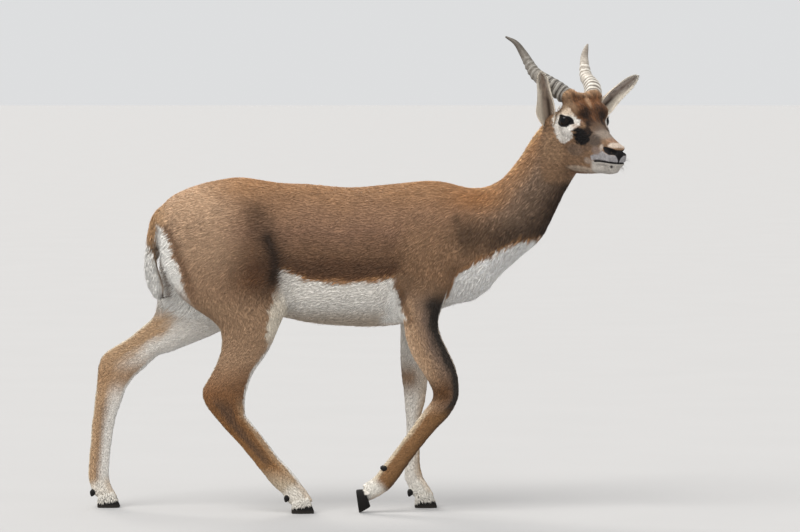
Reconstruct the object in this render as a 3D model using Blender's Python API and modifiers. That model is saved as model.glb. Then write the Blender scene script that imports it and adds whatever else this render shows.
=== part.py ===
"""A young male blackbuck at life size, walking, with its head turned to its right.

Metres, +X towards the front of the animal, +Y to its left, +Z up. The floor is z = 0 and the
origin lies on it, under the middle of the animal's box. Sizes below are in millimetres.

The flesh is modelled whole: oval sections through profile points are lofted into trunk, neck,
head and legs, muscles are added as ellipsoids, and one remesh joins them. Flat cuts then part it
into its named pieces. Eyes, horns, ears, tail and the claws of the hooves are shapes of their own.
"""
import math

import bmesh
import bpy
import numpy as np
from mathutils import Matrix, Vector

MM = 0.001
GAP = 0.3 * MM                  # air between neighbouring pieces
VOXEL = 5.0 * MM                # mesh of the joined flesh before it is thinned
FLESH_TRIANGLES = 4260

# The box's middle lies this far from the body's middle plane, because the head is turned.
SIDE_SHIFT = 26.0

# The head's own frame: x along the mouth line, y to its left, z up, zero at the brow's middle.
BROW = Vector((494.5, -95.0, 843.0))
HEAD_YAW = math.radians(-62)
HEAD_PITCH = math.radians(6)
HEAD_ROLL = math.radians(-2)

EYE_RADIUS = 17.0
EYE_CENTRE = (-46.5, 43.0, -9.0)            # of the left eye, in the head's frame
HORN_BASE = (-66.0, 32.0, 40.0)             # of the left horn, in the head's frame
# Points of its axis from that base, with the radius at each: x, y, z, radius.
HORN_WAY = (
    (-4, 1, 1, 18.0), (-14, 5, 5, 18.4), (-31, 14, 14, 17.8), (-60, 24, 25, 15.8), (-97, 32, 40, 13.0),
    (-129, 44, 74, 8.8), (-146, 56, 95, 5.6), (-166, 71, 105, 2.0),
)
HORN_UNEVEN = 4.5                           # how much the right tip stands above the left one, halved
HORN_RINGS = 13
HORN_RIDGE = 0.9                            # height of a ring over the horn's mean radius
HORN_SMOOTH_TIP = 0.2                       # share of the horn's length without rings
HORN_SIDES = 8

EAR_HALF_WIDTH = 20.0
EAR_WALL = 2.6
DEWCLAW = (7, 5.5, 9)                        # radii

CLAW_LENGTH = 50.0
CLAW_WIDTH = 16.0
CLAW_CLEFT = 3.0                            # air between the two claws of a foot
CORONET_FRONT = 25.0                        # height of the hoof at its front and at its heel
CORONET_HEEL = 17.0

COAT_BACK = (0.38, 0.225, 0.125)
COAT_LEG = (0.33, 0.20, 0.115)
COAT_NECK = (0.20, 0.135, 0.085)
COAT_WHITE = (0.60, 0.57, 0.53)
EAR_GREY = (0.22, 0.17, 0.13)
KERATIN = (0.012, 0.011, 0.010)
HORN_GREY = (0.24, 0.21, 0.175)
EYE_DARK = (0.010, 0.008, 0.007)

# Sections as (upper x, upper z, lower x, lower z, half width, sag): sag > 0 is wider below.
TRUNK = (
    (-447, 640, -440, 585, 30, 0.0), (-425, 668, -420, 530, 58, 0.0), (-398, 687, -392, 480, 78, 0.05),
    (-350, 705, -350, 440, 93, 0.05), (-300, 716, -302, 428, 98, 0.05), (-262, 720, -262, 424, 98, 0.05),
    (-225, 715, -226, 424, 95, 0.1), (-178, 708, -182, 418, 95, 0.15), (-114, 705, -116, 404, 104, 0.2),
    (-28, 698, -28, 396, 113, 0.2), (37, 703, 37, 396, 113, 0.18), (101, 709, 98, 404, 104, 0.12),
    (144, 713, 148, 424, 92, 0.08), (185, 708, 196, 443, 80, 0.05), (222, 698, 240, 453, 68, 0.0),
    (248, 697, 274, 482, 56, 0.0),
)
# The neck turns towards the right at its top, so its last sections carry a shift to the side.
NECK = (
    (176, 709, 224, 449, 76, 0.1, 0), (222, 697, 264, 470, 68, 0.1, 0), (262, 699, 297, 507, 61, 0.1, 0),
    (296, 715, 338, 544, 55, 0.1, 0), (322, 744, 383, 583, 50, 0.1, -1),
    (342, 771, 409, 630, 47, 0.1, -3), (357, 797, 432, 679, 45, 0.05, -6),
    (377, 825, 455, 718, 44, 0.0, -10), (404, 850, 468, 744, 40, 0.0, -16),
)
# Sections of a leg as (rear x, rear z, front x, front z, side, half width), for its right or left.
HIND_RIGHT = (
    (-440, 592, -206, 612, -50, 42), (-428, 522, -170, 535, -60, 45), (-383, 456, -157, 456, -67, 43),
    (-312, 402, -176, 402, -71, 35), (-305, 350, -199, 348, -72, 27), (-324, 303, -230, 303, -71, 22),
    (-345, 266, -246, 262, -70, 19), (-341, 238, -250, 233, -70, 18), (-322, 210, -248, 220, -69, 16),
    (-292, 175, -247, 209, -69, 14.5), (-257, 136, -213, 168, -68, 13.5), (-220, 90, -178, 121, -67, 13.5),
    (-194, 58, -148, 88, -66, 16), (-168, 36, -119, 49, -66, 15.5), (-158, 20, -104, 27, -66, 16),
    (-154, 12, -99, 16, -66, 16),
)
HIND_LEFT = (
    (-440, 592, -206, 612, 50, 42), (-442, 520, -215, 510, 60, 45), (-446, 450, -264, 408, 66, 40),
    (-455, 416, -405, 340, 70, 27), (-484, 390, -443, 328, 71, 23), (-515, 366, -474, 299, 71, 20),
    (-562, 337, -495, 281, 70, 19), (-575, 312, -512, 257, 70, 18), (-580, 270, -521, 231, 69, 16.5),
    (-585, 228, -530, 208, 68, 14.5), (-592, 174, -539, 170, 67, 13.5), (-596, 116, -547, 112, 66, 13.5),
    (-599, 67, -550, 67, 65, 16), (-589, 38, -544, 45, 64, 15.5), (-576, 20, -533, 27, 64, 16),
    (-572, 12, -527, 16, 64, 16),
)
FORE_RIGHT = (
    (92, 622, 196, 634, -52, 28), (66, 560, 196, 568, -61, 32), (62, 505, 190, 500, -66, 32),
    (73, 454, 174, 447, -68, 29), (83, 415, 163, 411, -69, 25), (91, 370, 170, 379, -69, 23),
    (106, 331, 186, 347, -68, 21.5), (128, 297, 201, 313, -67, 19), (143, 271, 208, 276, -66, 17.5),
    (149, 250, 205, 242, -65, 17.5), (138, 232, 186, 208, -64, 16.5), (117, 206, 156, 176, -63, 13.5),
    (76, 149, 111, 120, -61, 12.5), (40, 101, 80, 76, -59, 13.5), (23, 78, 61, 52, -58, 15.5),
    (6, 66, 37, 35, -57, 14.5), (-12, 58, 11, 23, -56, 15), (-18, 55, 5, 19, -56, 15),
)
FORE_LEFT = (
    (92, 622, 196, 634, 52, 28), (66, 560, 196, 568, 61, 32), (62, 505, 182, 500, 66, 32),
    (72, 454, 166, 447, 68, 29), (78, 400, 153, 400, 68, 25), (78, 346, 149, 346, 67, 23),
    (79, 303, 145, 303, 66, 20), (84, 265, 140, 265, 65, 17.5), (87, 232, 136, 232, 64, 17),
    (91, 191, 126, 191, 63, 13.5), (91, 142, 125, 142, 62, 12.5), (89, 93, 125, 93, 61, 13.5),
    (88, 61, 131, 67, 60, 15.5), (102, 37, 145, 46, 60, 14.5), (112, 20, 156, 27, 60, 15),
    (115, 12, 162, 16, 60, 15),
)
# Sections of the head in its own frame as (x, top, bottom, half width, squareness, sag).
UPPER_HEAD = (
    (-116, -10, -72, 26, 2.0, 0.0), (-102, 18, -88, 40, 2.1, 0.0), (-84, 42, -96, 46, 2.2, 0.0),
    (-62, 51, -98, 49, 2.3, 0.0), (-38, 38, -98, 49, 2.4, -0.05), (-17, 17, -98, 43, 2.4, -0.05),
    (4, -1, -97, 35, 2.4, 0.0), (30, -13, -96, 28, 2.4, 0.05), (58, -24, -94, 25, 2.4, 0.15),
    (82, -34, -92, 25, 2.4, 0.1), (99, -41, -88, 24, 2.3, 0.0), (109, -49, -84, 19, 2.2, 0.0),
    (114, -59, -79, 12, 2.0, 0.0),
)
LOWER_JAW = (
    (-98, -66, -104, 20, 2.0, 0.0), (-78, -60, -119, 31, 2.1, -0.1), (-50, -60, -123, 34, 2.2, -0.1),
    (-15, -70, -120, 30, 2.2, -0.1), (20, -80, -115, 24, 2.2, -0.05), (50, -84, -111, 20, 2.2, 0.0),
    (78, -84, -110, 19, 2.2, 0.0), (96, -83, -105, 16, 2.1, 0.0), (106, -84, -96, 10, 2.0, 0.0),
)
TAIL = (
    (-420, 664, -404, 632, 13, 0), (-448, 652, -430, 626, 17, 0), (-464, 618, -441, 606, 19, 0),
    (-471, 570, -443, 566, 22, 0), (-475, 528, -436, 522, 24, 0), (-468, 482, -424, 482, 20, 0),
    (-450, 452, -424, 452, 10, 0),
)
# Muscles as (centre, radii, pitch in degrees), of the right side in the body's frame; each is
# repeated on the left unless its place differs with the step of the legs.
MUSCLES_BOTH_SIDES = (
    ((150, -62, 600), (58, 24, 64), -20), ((186, -62, 552), (46, 26, 34), 35),
    ((112, -72, 540), (58, 24, 44), -35), ((-262, -58, 640), (66, 24, 44), 12),
    ((-398, -42, 600), (38, 26, 60), 0),
)
MUSCLES_RIGHT = (((-300, -78, 505), (92, 32, 90), 0), ((-205, -68, 470), (40, 27, 60), 15))
MUSCLES_LEFT = (((-335, 76, 500), (95, 32, 85), 0), ((-275, 70, 450), (48, 27, 44), -10))
# Flesh of the head in its own frame as (centre, radii), of the left side.
HEAD_MUSCLES = (
    ((-38, 25, 14), (33, 25.5, 21)), ((-36, 41, -27), (29, 15, 13)), ((-52, 26, -84), (36, 15, 32)),
    ((-68, 31, 41), (23, 20, 19)), ((-98, 42, -14), (20, 15, 20)), ((90, 16, -78), (18, 11, 10)),
    ((-92, 26, -62), (36, 23, 44)),
)


def head_frame():
    """Matrix from the head's frame, in millimetres, to the world, in metres."""
    turn = Matrix.Rotation(HEAD_YAW, 4, "Z") @ Matrix.Rotation(HEAD_PITCH, 4, "Y")
    turn = turn @ Matrix.Rotation(HEAD_ROLL, 4, "X")
    return Matrix.Translation(BROW * MM) @ turn @ Matrix.Scale(MM, 4)


def smooth_rows(rows, step):
    """Rows of numbers joined by a Catmull-Rom curve, with new rows about a step apart."""
    rows = np.array(rows, float)
    padded = np.vstack((2 * rows[0] - rows[1], rows, 2 * rows[-1] - rows[-2]))
    found = []
    for i in range(1, len(padded) - 2):
        a, b, c, d = padded[i - 1:i + 3]
        count = max(1, round(float(np.linalg.norm((c - b)[:3])) / step))
        for t in np.arange(count) / count:
            found.append(0.5 * (2 * b + (c - a) * t + (2 * a - 5 * b + 4 * c - d) * t ** 2
                                + (3 * b - a - 3 * c + d) * t ** 3))
    return found + [rows[-1]]


def oval(upper, lower, side, half_width, squareness, sag, count):
    """Points of one section through two profile points, wider below where sag is above zero."""
    middle = (upper + lower) / 2
    depth = (upper - lower) / 2
    points = []
    for angle in np.arange(count) * 2 * math.pi / count:
        up = math.copysign(abs(math.cos(angle)) ** (2 / squareness), math.cos(angle))
        out = math.copysign(abs(math.sin(angle)) ** (2 / squareness), math.sin(angle))
        points.append(middle + depth * up + side * (out * half_width * (1 - sag * up)))
    return points


def add_loft(mesh, rings):
    """Adds a closed skin over rings of equal length, with a flat cap on each end."""
    rows = [[mesh.verts.new(point) for point in ring] for ring in rings]
    count = len(rows[0])
    faces = [mesh.faces.new(rows[0][::-1]), mesh.faces.new(rows[-1])]
    for near, far in zip(rows, rows[1:]):
        for i in range(count):
            j = (i + 1) % count
            faces.append(mesh.faces.new((near[i], near[j], far[j], far[i])))
    bmesh.ops.recalc_face_normals(mesh, faces=faces)


def add_profile_loft(mesh, rows, count=28, step=9.0):
    """Lofts sections (upper x, upper z, lower x, lower z, side, half width, sag) of the body."""
    rings = []
    for ux, uz, lx, lz, side, width, sag in smooth_rows(rows, step):
        upper, lower = Vector((ux, side, uz)) * MM, Vector((lx, side, lz)) * MM
        rings.append(oval(upper, lower, Vector((0, 1, 0)), width * MM, 2.1, sag, count))
    add_loft(mesh, rings)


def add_head_loft(mesh, rows):
    """Lofts sections (x, top, bottom, half width, squareness, sag) of the head."""
    frame = head_frame()
    left = Vector((0, 1, 0))
    rings = []
    for x, top, bottom, width, squareness, sag in smooth_rows(rows, 6.0):
        upper, lower = Vector((x, 0, top)), Vector((x, 0, bottom))
        ring = oval(upper, lower, left, width, squareness, sag, 28)
        rings.append([frame @ point for point in ring])
    add_loft(mesh, rings)


def add_ellipsoid(mesh, centre, radii, frame, pitch=0.0):
    """Adds an ellipsoid with its centre and radii in a frame of millimetres."""
    turn = Matrix.Rotation(math.radians(pitch), 4, "Y")
    place = frame @ Matrix.Translation(centre) @ turn @ Matrix.Diagonal((*radii, 1))
    bmesh.ops.create_uvsphere(mesh, u_segments=20, v_segments=12, radius=1, matrix=place)


def mirrored(point):
    """The same point on the other side of the middle plane."""
    return (point[0], -point[1], point[2])


def new_object(name, mesh, collection):
    """Makes an object in a collection from a bmesh, which is used up."""
    data = bpy.data.meshes.new(name)
    mesh.to_mesh(data)
    mesh.free()
    piece = bpy.data.objects.new(name, data)
    collection.objects.link(piece)
    return piece


def apply_modifiers(piece):
    """Turns what the modifiers show into the object's own mesh."""
    bpy.context.view_layer.update()
    shown = piece.evaluated_get(bpy.context.evaluated_depsgraph_get())
    data = bpy.data.meshes.new_from_object(shown)
    piece.modifiers.clear()
    piece.data = data


def boolean(piece, other, operation):
    """Keeps what an operation with another closed object leaves of a piece."""
    change = piece.modifiers.new(operation.title(), "BOOLEAN")
    change.operation = operation
    change.object = other
    apply_modifiers(piece)


def drop_crumbs(piece):
    """Keeps the largest connected body of a piece, without slivers that a cut left loose."""
    mesh = bmesh.new()
    mesh.from_mesh(piece.data)
    left = set(mesh.verts)
    bodies = []
    while left:
        body, edge_of_body = set(), [left.pop()]
        while edge_of_body:
            vertex = edge_of_body.pop()
            body.add(vertex)
            near = {edge.other_vert(vertex) for edge in vertex.link_edges} & left
            left -= near
            edge_of_body.extend(near)
        bodies.append(body)
    largest = max(bodies, key=len)
    crumbs = [vertex for body in bodies if body is not largest for vertex in body]
    bmesh.ops.delete(mesh, geom=crumbs, context="VERTS")
    mesh.to_mesh(piece.data)
    mesh.free()


def copied(piece, name, collection):
    """A copy of an object with a mesh of its own."""
    twin = bpy.data.objects.new(name, piece.data.copy())
    collection.objects.link(twin)
    return twin


def grown(piece, collection, distance=GAP):
    """A copy of a closed object whose skin stands further out, used as a cutter."""
    twin = copied(piece, piece.name + "_clearance", collection)
    swell = twin.modifiers.new("Clearance", "DISPLACE")
    swell.strength = distance
    swell.mid_level = 0
    apply_modifiers(twin)
    return as_cutter(twin)


def as_cutter(piece):
    """Marks an object as a tool that isn't part of the animal."""
    piece.hide_render = True
    piece.display_type = "WIRE"
    return piece


def convex_region(name, planes, collection, grow=0.0):
    """The space behind all of the given planes (point and outward normal), out to a metre."""
    mesh = bmesh.new()
    bmesh.ops.create_cube(mesh, size=3.0)
    for point, normal in planes:
        outward = Vector(normal).normalized()
        everything = mesh.verts[:] + mesh.edges[:] + mesh.faces[:]
        cut = bmesh.ops.bisect_plane(mesh, geom=everything, plane_co=Vector(point) + outward * grow,
                                     plane_no=outward, clear_outer=True)
        rim = [item for item in cut["geom_cut"] if isinstance(item, bmesh.types.BMEdge)]
        bmesh.ops.contextual_create(mesh, geom=rim)
    bmesh.ops.recalc_face_normals(mesh, faces=mesh.faces[:])
    return as_cutter(new_object(name, mesh, collection))


def part_off(flesh, name, planes, parts, cutters):
    """Takes the flesh behind some planes as a new piece and leaves a gap round it."""
    piece = copied(flesh, name, parts)
    boolean(piece, convex_region(name + "_region", planes, cutters), "INTERSECT")
    boolean(flesh, convex_region(name + "_room", planes, cutters, GAP), "DIFFERENCE")
    return piece


def flesh_whole(collection):
    """The body without ears, tail and claws, as one closed skin of few triangles."""
    mesh = bmesh.new()
    add_profile_loft(mesh, [(*row[:4], 0, *row[4:]) for row in TRUNK], count=36)
    add_profile_loft(mesh, [(*row[:4], row[6], row[4], row[5]) for row in NECK], count=32)
    for leg in (HIND_RIGHT, HIND_LEFT, FORE_RIGHT, FORE_LEFT):
        add_profile_loft(mesh, [(*row, 0) for row in leg], count=24, step=7.0)
    body = Matrix.Scale(MM, 4)
    for centre, radii, pitch in MUSCLES_BOTH_SIDES:
        add_ellipsoid(mesh, centre, radii, body, pitch)
        add_ellipsoid(mesh, mirrored(centre), radii, body, pitch)
    for centre, radii, pitch in MUSCLES_RIGHT + MUSCLES_LEFT:
        add_ellipsoid(mesh, centre, radii, body, pitch)
    add_head_loft(mesh, UPPER_HEAD)
    add_head_loft(mesh, LOWER_JAW)
    for centre, radii in HEAD_MUSCLES:
        add_ellipsoid(mesh, centre, radii, head_frame())
        add_ellipsoid(mesh, mirrored(centre), radii, head_frame())
    for foot in feet():
        for side in (-1, 1):
            add_ellipsoid(mesh, foot.dewclaw(side), DEWCLAW, body, foot.pitch)
    flesh = new_object("flesh", mesh, collection)
    join = flesh.modifiers.new("Join", "REMESH")
    join.mode = "VOXEL"
    join.voxel_size = VOXEL
    soften = flesh.modifiers.new("Soften", "SMOOTH")
    soften.factor = 0.5
    soften.iterations = 5
    apply_modifiers(flesh)
    thin_out(flesh, FLESH_TRIANGLES)
    return flesh


def thin_out(piece, triangles):
    """Collapses a piece to about a number of triangles, the fewest where it is flattest."""
    thin = piece.modifiers.new("Thin", "DECIMATE")
    thin.ratio = triangles / (2 * len(piece.data.polygons))
    thin.use_collapse_triangulate = True
    apply_modifiers(piece)


class Foot:
    """A cloven foot: where its coronet stands, how it is pitched, and its claws' frame."""

    def __init__(self, name, heel_x, side, pitch=0.0, lift=0.0):
        self.name = name
        self.pitch = pitch
        turn = Matrix.Rotation(math.radians(pitch), 4, "Y")
        self.frame = Matrix.Translation((heel_x, side, lift)) @ turn

    def dewclaw(self, side):
        """Centre of one dewclaw in millimetres, behind and above the heel."""
        return self.frame @ Vector((-9, side * 10, 33))

    def coronet_plane(self):
        """Point and outward normal, in metres, of the cut between the leg and its claws."""
        slope = math.atan2(CORONET_FRONT - CORONET_HEEL, CLAW_LENGTH)
        normal = self.frame.to_3x3() @ Vector((math.sin(slope), 0, -math.cos(slope)))
        return (self.frame @ Vector((0, 0, CORONET_HEEL))) * MM, normal


def feet():
    """The four feet, with the right fore one flexed on its toe."""
    return (
        Foot("hind_right", -153, -66), Foot("hind_left", -577, 64), Foot("fore_left", 111, 60),
        Foot("fore_right", -15, -56, pitch=82, lift=49),
    )


def add_claw(name, foot, side, parts):
    """One claw: rings from the flat sole up to the sloping coronet, pointed at the toe."""
    mesh = bmesh.new()
    rings = []
    levels = 3
    for level in range(levels + 1):
        t = level / levels
        length = CLAW_LENGTH * (1 - 0.24 * t)
        half = CLAW_WIDTH / 2 * (1 - 0.10 * t) * (0.94 if level == 0 else 1)
        ring = []
        for angle in np.arange(12) * 2 * math.pi / 12:
            along = 0.5 + 0.5 * math.cos(angle)
            narrow = 1 - 0.45 * along ** 2
            x = along * length + 1.5 * t
            y = side * (CLAW_CLEFT / 2 + CLAW_WIDTH / 2) + math.sin(angle) * half * narrow
            rise = CORONET_HEEL + (CORONET_FRONT - CORONET_HEEL) * x / CLAW_LENGTH
            ring.append(foot.frame @ Vector((x, y, t * (rise - GAP / MM))) * MM)
        rings.append(ring)
    add_loft(mesh, rings)
    return new_object(name, mesh, parts)


def horn_path(side):
    """Centres and radii along a horn in the head's frame, from its base to its tip."""
    base = np.array(HORN_BASE)
    rows = smooth_rows(HORN_WAY, 4.0)
    lift = [-side * HORN_UNEVEN * (k / len(rows)) ** 2 for k in range(len(rows))]
    return [((base + row[:3] + (0, 0, up)) * (1, side, 1), row[3]) for row, up in zip(rows, lift)]


def add_horn(name, side, parts, swell=0.0):
    """A horn with raised rings that fade towards its smooth tip."""
    mesh = bmesh.new()
    path = horn_path(side)
    frame = head_frame()
    centres = [frame @ Vector(centre) for centre, _ in path]
    lengths = np.cumsum([0] + [(b - a).length for a, b in zip(centres, centres[1:])])
    count = 3 * HORN_RINGS
    rings = []
    for k in range(count + 1):
        where = lengths[-1] * k / count
        place, ahead, behind = [
            Vector([np.interp(distance, lengths, [c[i] for c in centres]) for i in range(3)])
            for distance in (where, where + 6 * MM, where - 6 * MM)
        ]
        along = (ahead - behind).normalized()
        across = along.cross(frame.to_3x3() @ Vector((0, 1, 0))).normalized()
        upward = across.cross(along).normalized()
        radius = np.interp(where, lengths, [r for _, r in path])
        if k % count:
            fade = min(1, max(0, (1 - HORN_SMOOTH_TIP - k / count) / HORN_SMOOTH_TIP))
            radius += HORN_RIDGE * fade * (1 if k % 3 == 1 else -0.5)
        ring = []
        for angle in np.arange(HORN_SIDES) * 2 * math.pi / HORN_SIDES:
            out = across * math.cos(angle) + upward * math.sin(angle)
            ring.append(place + out * (radius * MM + swell))
        rings.append(ring)
    add_loft(mesh, rings)
    return new_object(name, mesh, parts)


def add_eye(name, side, parts):
    """An eyeball in its socket."""
    mesh = bmesh.new()
    centre = Vector(EYE_CENTRE if side > 0 else mirrored(EYE_CENTRE))
    place = Matrix.Translation(head_frame() @ centre)
    bmesh.ops.create_uvsphere(mesh, u_segments=12, v_segments=8, radius=EYE_RADIUS * MM, matrix=place)
    return new_object(name, mesh, parts)


def add_ear(name, root, tip, opening, parts):
    """A leaf-shaped ear, rolled into a tube at its root and open towards a direction.

    Root, tip and opening are in the head's frame. Each section is an arc with the wall's
    thickness, so that the ear is a cupped shell. It widens from its root and ends in a blunt tip.
    """
    mesh = bmesh.new()
    frame = head_frame()
    along = (Vector(tip) - Vector(root)).normalized()
    length = (Vector(tip) - Vector(root)).length
    facing = (Vector(opening) - along * along.dot(Vector(opening))).normalized()
    across = along.cross(facing)
    rings = []
    for t in (0, 0.1, 0.2, 0.3, 0.42, 0.54, 0.66, 0.78, 0.88, 0.95, 1):
        blunt = math.sqrt(max(0, 1 - max(0, (t - 0.7) / 0.3) ** 2.2))
        half = (EAR_HALF_WIDTH - 1.5) * math.sin(math.pi * (0.2 + 0.5 * t ** 0.7)) * blunt + 1.5
        wrap = math.radians(60 + 80 * max(0, 1 - t / 0.7) ** 1.3)
        radius = half / math.sin(min(wrap, math.pi / 2))
        thick = min(EAR_WALL * (1 - 0.5 * t), 0.6 * radius)
        middle = Vector(root) + along * (length * t) + facing * (radius - half * 0.55 - 7 * t * (1 - t))
        angles = np.linspace(-wrap, wrap, 7)
        outer = [middle + across * math.sin(a) * radius - facing * math.cos(a) * radius for a in angles]
        inner = [middle + across * math.sin(a) * (radius - thick) - facing * math.cos(a) * (radius - thick)
                 for a in angles[::-1]]
        rings.append([frame @ point for point in outer + inner])
    add_loft(mesh, rings)
    return new_object(name, mesh, parts)


def add_tail(parts):
    """The hanging tail with its fringe."""
    mesh = bmesh.new()
    add_profile_loft(mesh, [(*row[:4], 0, row[4], row[5]) for row in TAIL], count=12, step=26.0)
    return new_object("tail", mesh, parts)


def finish(piece, colour, roughness=0.9):
    """Gives a piece a material of its own and soft shading."""
    material = bpy.data.materials.new(piece.name)
    material.use_nodes = True
    shader = material.node_tree.nodes["Principled BSDF"]
    shader.inputs["Base Color"].default_value = (*colour, 1)
    shader.inputs["Roughness"].default_value = roughness
    shader.inputs["Metallic"].default_value = 0.0
    piece.data.materials.clear()
    piece.data.materials.append(material)
    piece.data.shade_smooth()


def head_planes():
    """The head's cut runs behind the ears and down behind the jaw."""
    frame = head_frame()
    rear = frame @ Vector((-103, 0, -40))
    return [(rear, frame.to_3x3() @ Vector((-0.966, 0, -0.26))), ((0, 0, 0.708), (0, 0, -1))]


def hind_planes(side):
    """A thigh's cut slants from the crotch out to the hip, and down the fold of the flank."""
    return [
        ((0, side * 0.014, 0.375), (0, -side * 0.94, 0.34)),
        ((-0.158, 0, 0.454), (0.97, 0, 0.245)),
        ((0, side * 0.006, 0), (0, -side, 0)),
    ]


def fore_planes(side):
    """A foreleg's cut slants from the armpit out to the shoulder's lower edge."""
    return [
        ((0, side * 0.030, 0.418), (0, -side * 0.806, 0.592)),
        ((0.056, 0, 0.45), (-0.976, 0, 0.22)),
        ((0.192, 0, 0.5), (0.995, 0, 0.1)),
        ((0, side * 0.014, 0), (0, -side, 0)),
    ]


def build():
    """Makes every piece of the animal."""
    for leftover in list(bpy.data.objects):
        bpy.data.objects.remove(leftover)
    parts = bpy.data.collections.new("blackbuck")
    cutters = bpy.data.collections.new("cutters")
    for collection in (parts, cutters):
        bpy.context.scene.collection.children.link(collection)

    flesh = flesh_whole(parts)
    flesh_room = grown(flesh, cutters)
    head = part_off(flesh, "head", head_planes(), parts, cutters)
    neck = part_off(flesh, "neck", [((0.235, 0, 0.70), (-0.979, 0, -0.204))], parts, cutters)
    legs = {
        "hind_right": part_off(flesh, "hindleg_right", hind_planes(-1), parts, cutters),
        "hind_left": part_off(flesh, "hindleg_left", hind_planes(1), parts, cutters),
        "fore_right": part_off(flesh, "foreleg_right", fore_planes(-1), parts, cutters),
        "fore_left": part_off(flesh, "foreleg_left", fore_planes(1), parts, cutters),
    }
    flesh.name = "trunk"

    for foot in feet():
        point, normal = foot.coronet_plane()
        low = [(point, -normal), ((0, 0, 0.09), (0, 0, 1))]
        boolean(legs[foot.name], convex_region("hoof_room_" + foot.name, low, cutters), "DIFFERENCE")
        for side, which in ((-1, "right"), (1, "left")):
            claw = add_claw(f"claw_{foot.name}_{which}", foot, side, parts)
            if foot.pitch:
                floor = convex_region("floor", [((0, 0, 0), (0, 0, 1))], cutters)
                boolean(claw, floor, "DIFFERENCE")
            finish(claw, KERATIN, 0.45)

    for side, which in ((-1, "right"), (1, "left")):
        eye = add_eye("eye_" + which, side, parts)
        boolean(head, grown(eye, cutters), "DIFFERENCE")
        horn = add_horn("horn_" + which, side, parts)
        boolean(head, as_cutter(add_horn("horn_seat_" + which, side, cutters, GAP)), "DIFFERENCE")
        finish(eye, EYE_DARK, 0.1)
        finish(horn, HORN_GREY, 0.6)

    drop_crumbs(head)

    for which, root, tip, opening in (
            ("right", (-100, -54, -24), (-84, -93, 87), (0.85, -0.52, 0.0)),
            ("left", (-99, 50, -3), (-112, 163, 85), (0.9, -0.25, -0.25))):
        ear = add_ear("ear_" + which, root, tip, opening, parts)
        boolean(ear, flesh_room, "DIFFERENCE")
        finish(ear, EAR_GREY)

    tail = add_tail(parts)
    boolean(tail, flesh_room, "DIFFERENCE")

    finish(head, COAT_NECK)
    finish(neck, COAT_NECK)
    finish(flesh, COAT_BACK)
    finish(tail, COAT_WHITE)
    for leg in legs.values():
        finish(leg, COAT_LEG)
    for piece in parts.objects:
        piece.data.transform(Matrix.Translation((0, SIDE_SHIFT * MM, 0)))


build()
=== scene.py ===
"""A young male blackbuck at life size, walking with its head turned to its right.

One skin replaces the solids of the flesh and lies inside them by the coat's depth. Over it lies the
coat, as locks of hair that follow its lie. Ears, eyes, horns, hooves and whiskers are pieces of
their own. Meshes are in metres; places and sizes are given in millimetres, and those of the head
in a frame of its own.
"""

import math

import bmesh
import bpy
import numpy as np
from mathutils import Matrix, Vector
from mathutils.bvhtree import BVHTree
from mathutils.kdtree import KDTree


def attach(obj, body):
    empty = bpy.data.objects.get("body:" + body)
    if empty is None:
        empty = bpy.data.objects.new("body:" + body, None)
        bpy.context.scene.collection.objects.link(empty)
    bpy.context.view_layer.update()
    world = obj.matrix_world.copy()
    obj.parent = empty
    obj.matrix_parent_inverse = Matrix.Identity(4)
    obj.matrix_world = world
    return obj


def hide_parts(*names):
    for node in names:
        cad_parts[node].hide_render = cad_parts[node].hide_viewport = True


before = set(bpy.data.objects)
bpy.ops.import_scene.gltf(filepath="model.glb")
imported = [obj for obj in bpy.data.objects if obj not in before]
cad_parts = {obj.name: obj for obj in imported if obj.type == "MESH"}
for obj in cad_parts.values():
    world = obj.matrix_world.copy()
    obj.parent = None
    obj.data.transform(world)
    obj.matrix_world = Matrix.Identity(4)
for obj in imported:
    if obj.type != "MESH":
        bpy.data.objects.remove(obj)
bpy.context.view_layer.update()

# ------------------------------------------------------------------------------------------------
# The skin: one closed surface for trunk, neck, head, tail and legs. The solids of the flesh are
# joined by a remesh, the face gets a finer mesh, and lids, nostrils, lips and folds are pushed
# into it. It then sinks below the solids by the coat's depth at each place.
MM = 0.001
FLESH = (
    "trunk", "neck", "head", "tail", "hindleg_right", "hindleg_left", "foreleg_right", "foreleg_left",
)
TRUNK, NECK, FACE, TAIL = range(4)          # their order in a row of shares; the legs follow
HIND_LEGS, FORELEGS = (4, 5), (6, 7)
KINDS = [name.split("_")[0] for name in FLESH]
SKIN_VOXEL = 6.0 * MM
SOLID_GAP = 0.45 * MM                       # closes the air between neighbouring solids
COAT_DEPTH = {                              # how far the hair's tips stand over the skin, in mm
    "trunk": 3.0, "neck": 3.2, "head": 1.5, "tail": 6.0, "hindleg": 2.0, "foreleg": 1.8,
}
LOWER_LEG_DEPTH = 1.0                       # below the hock and the knee, in mm
BARE_DEPTH = 0.3                            # round the eyes and on the nose, in mm

# The head's frame: x along the mouth line, y to its left, z up, zero at the brow's middle.
BROW = Vector((494.5, -69.0, 843.0)) * MM
HEAD_TURN = (Matrix.Rotation(math.radians(-62), 4, "Z") @ Matrix.Rotation(math.radians(6), 4, "Y")
             @ Matrix.Rotation(math.radians(-2), 4, "X"))
HEAD_AXES = np.array(HEAD_TURN.to_3x3())
HEAD = Matrix.Translation(BROW) @ HEAD_TURN @ Matrix.Scale(MM, 4)
EYE_RADIUS = 17.0
EYE_CENTRE = (-46.5, 43.0, -9.0)            # of the left eye
EYE_AXIS = (0.42, 0.89, 0.10)               # where the left eye looks
EYE_MOUND = (-44.0, 37.0, -9.0)             # the flesh that the left eye stands in
LID_LINE = (0.88, -0.42, -0.10)             # from the left eye's rear corner to its front corner
HORN_BASE = (-66.0, 32.0, 40.0)             # of the left horn
EAR_ROOTS = {"right": (-100, -54, -24), "left": (-99, 50, -3)}
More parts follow.
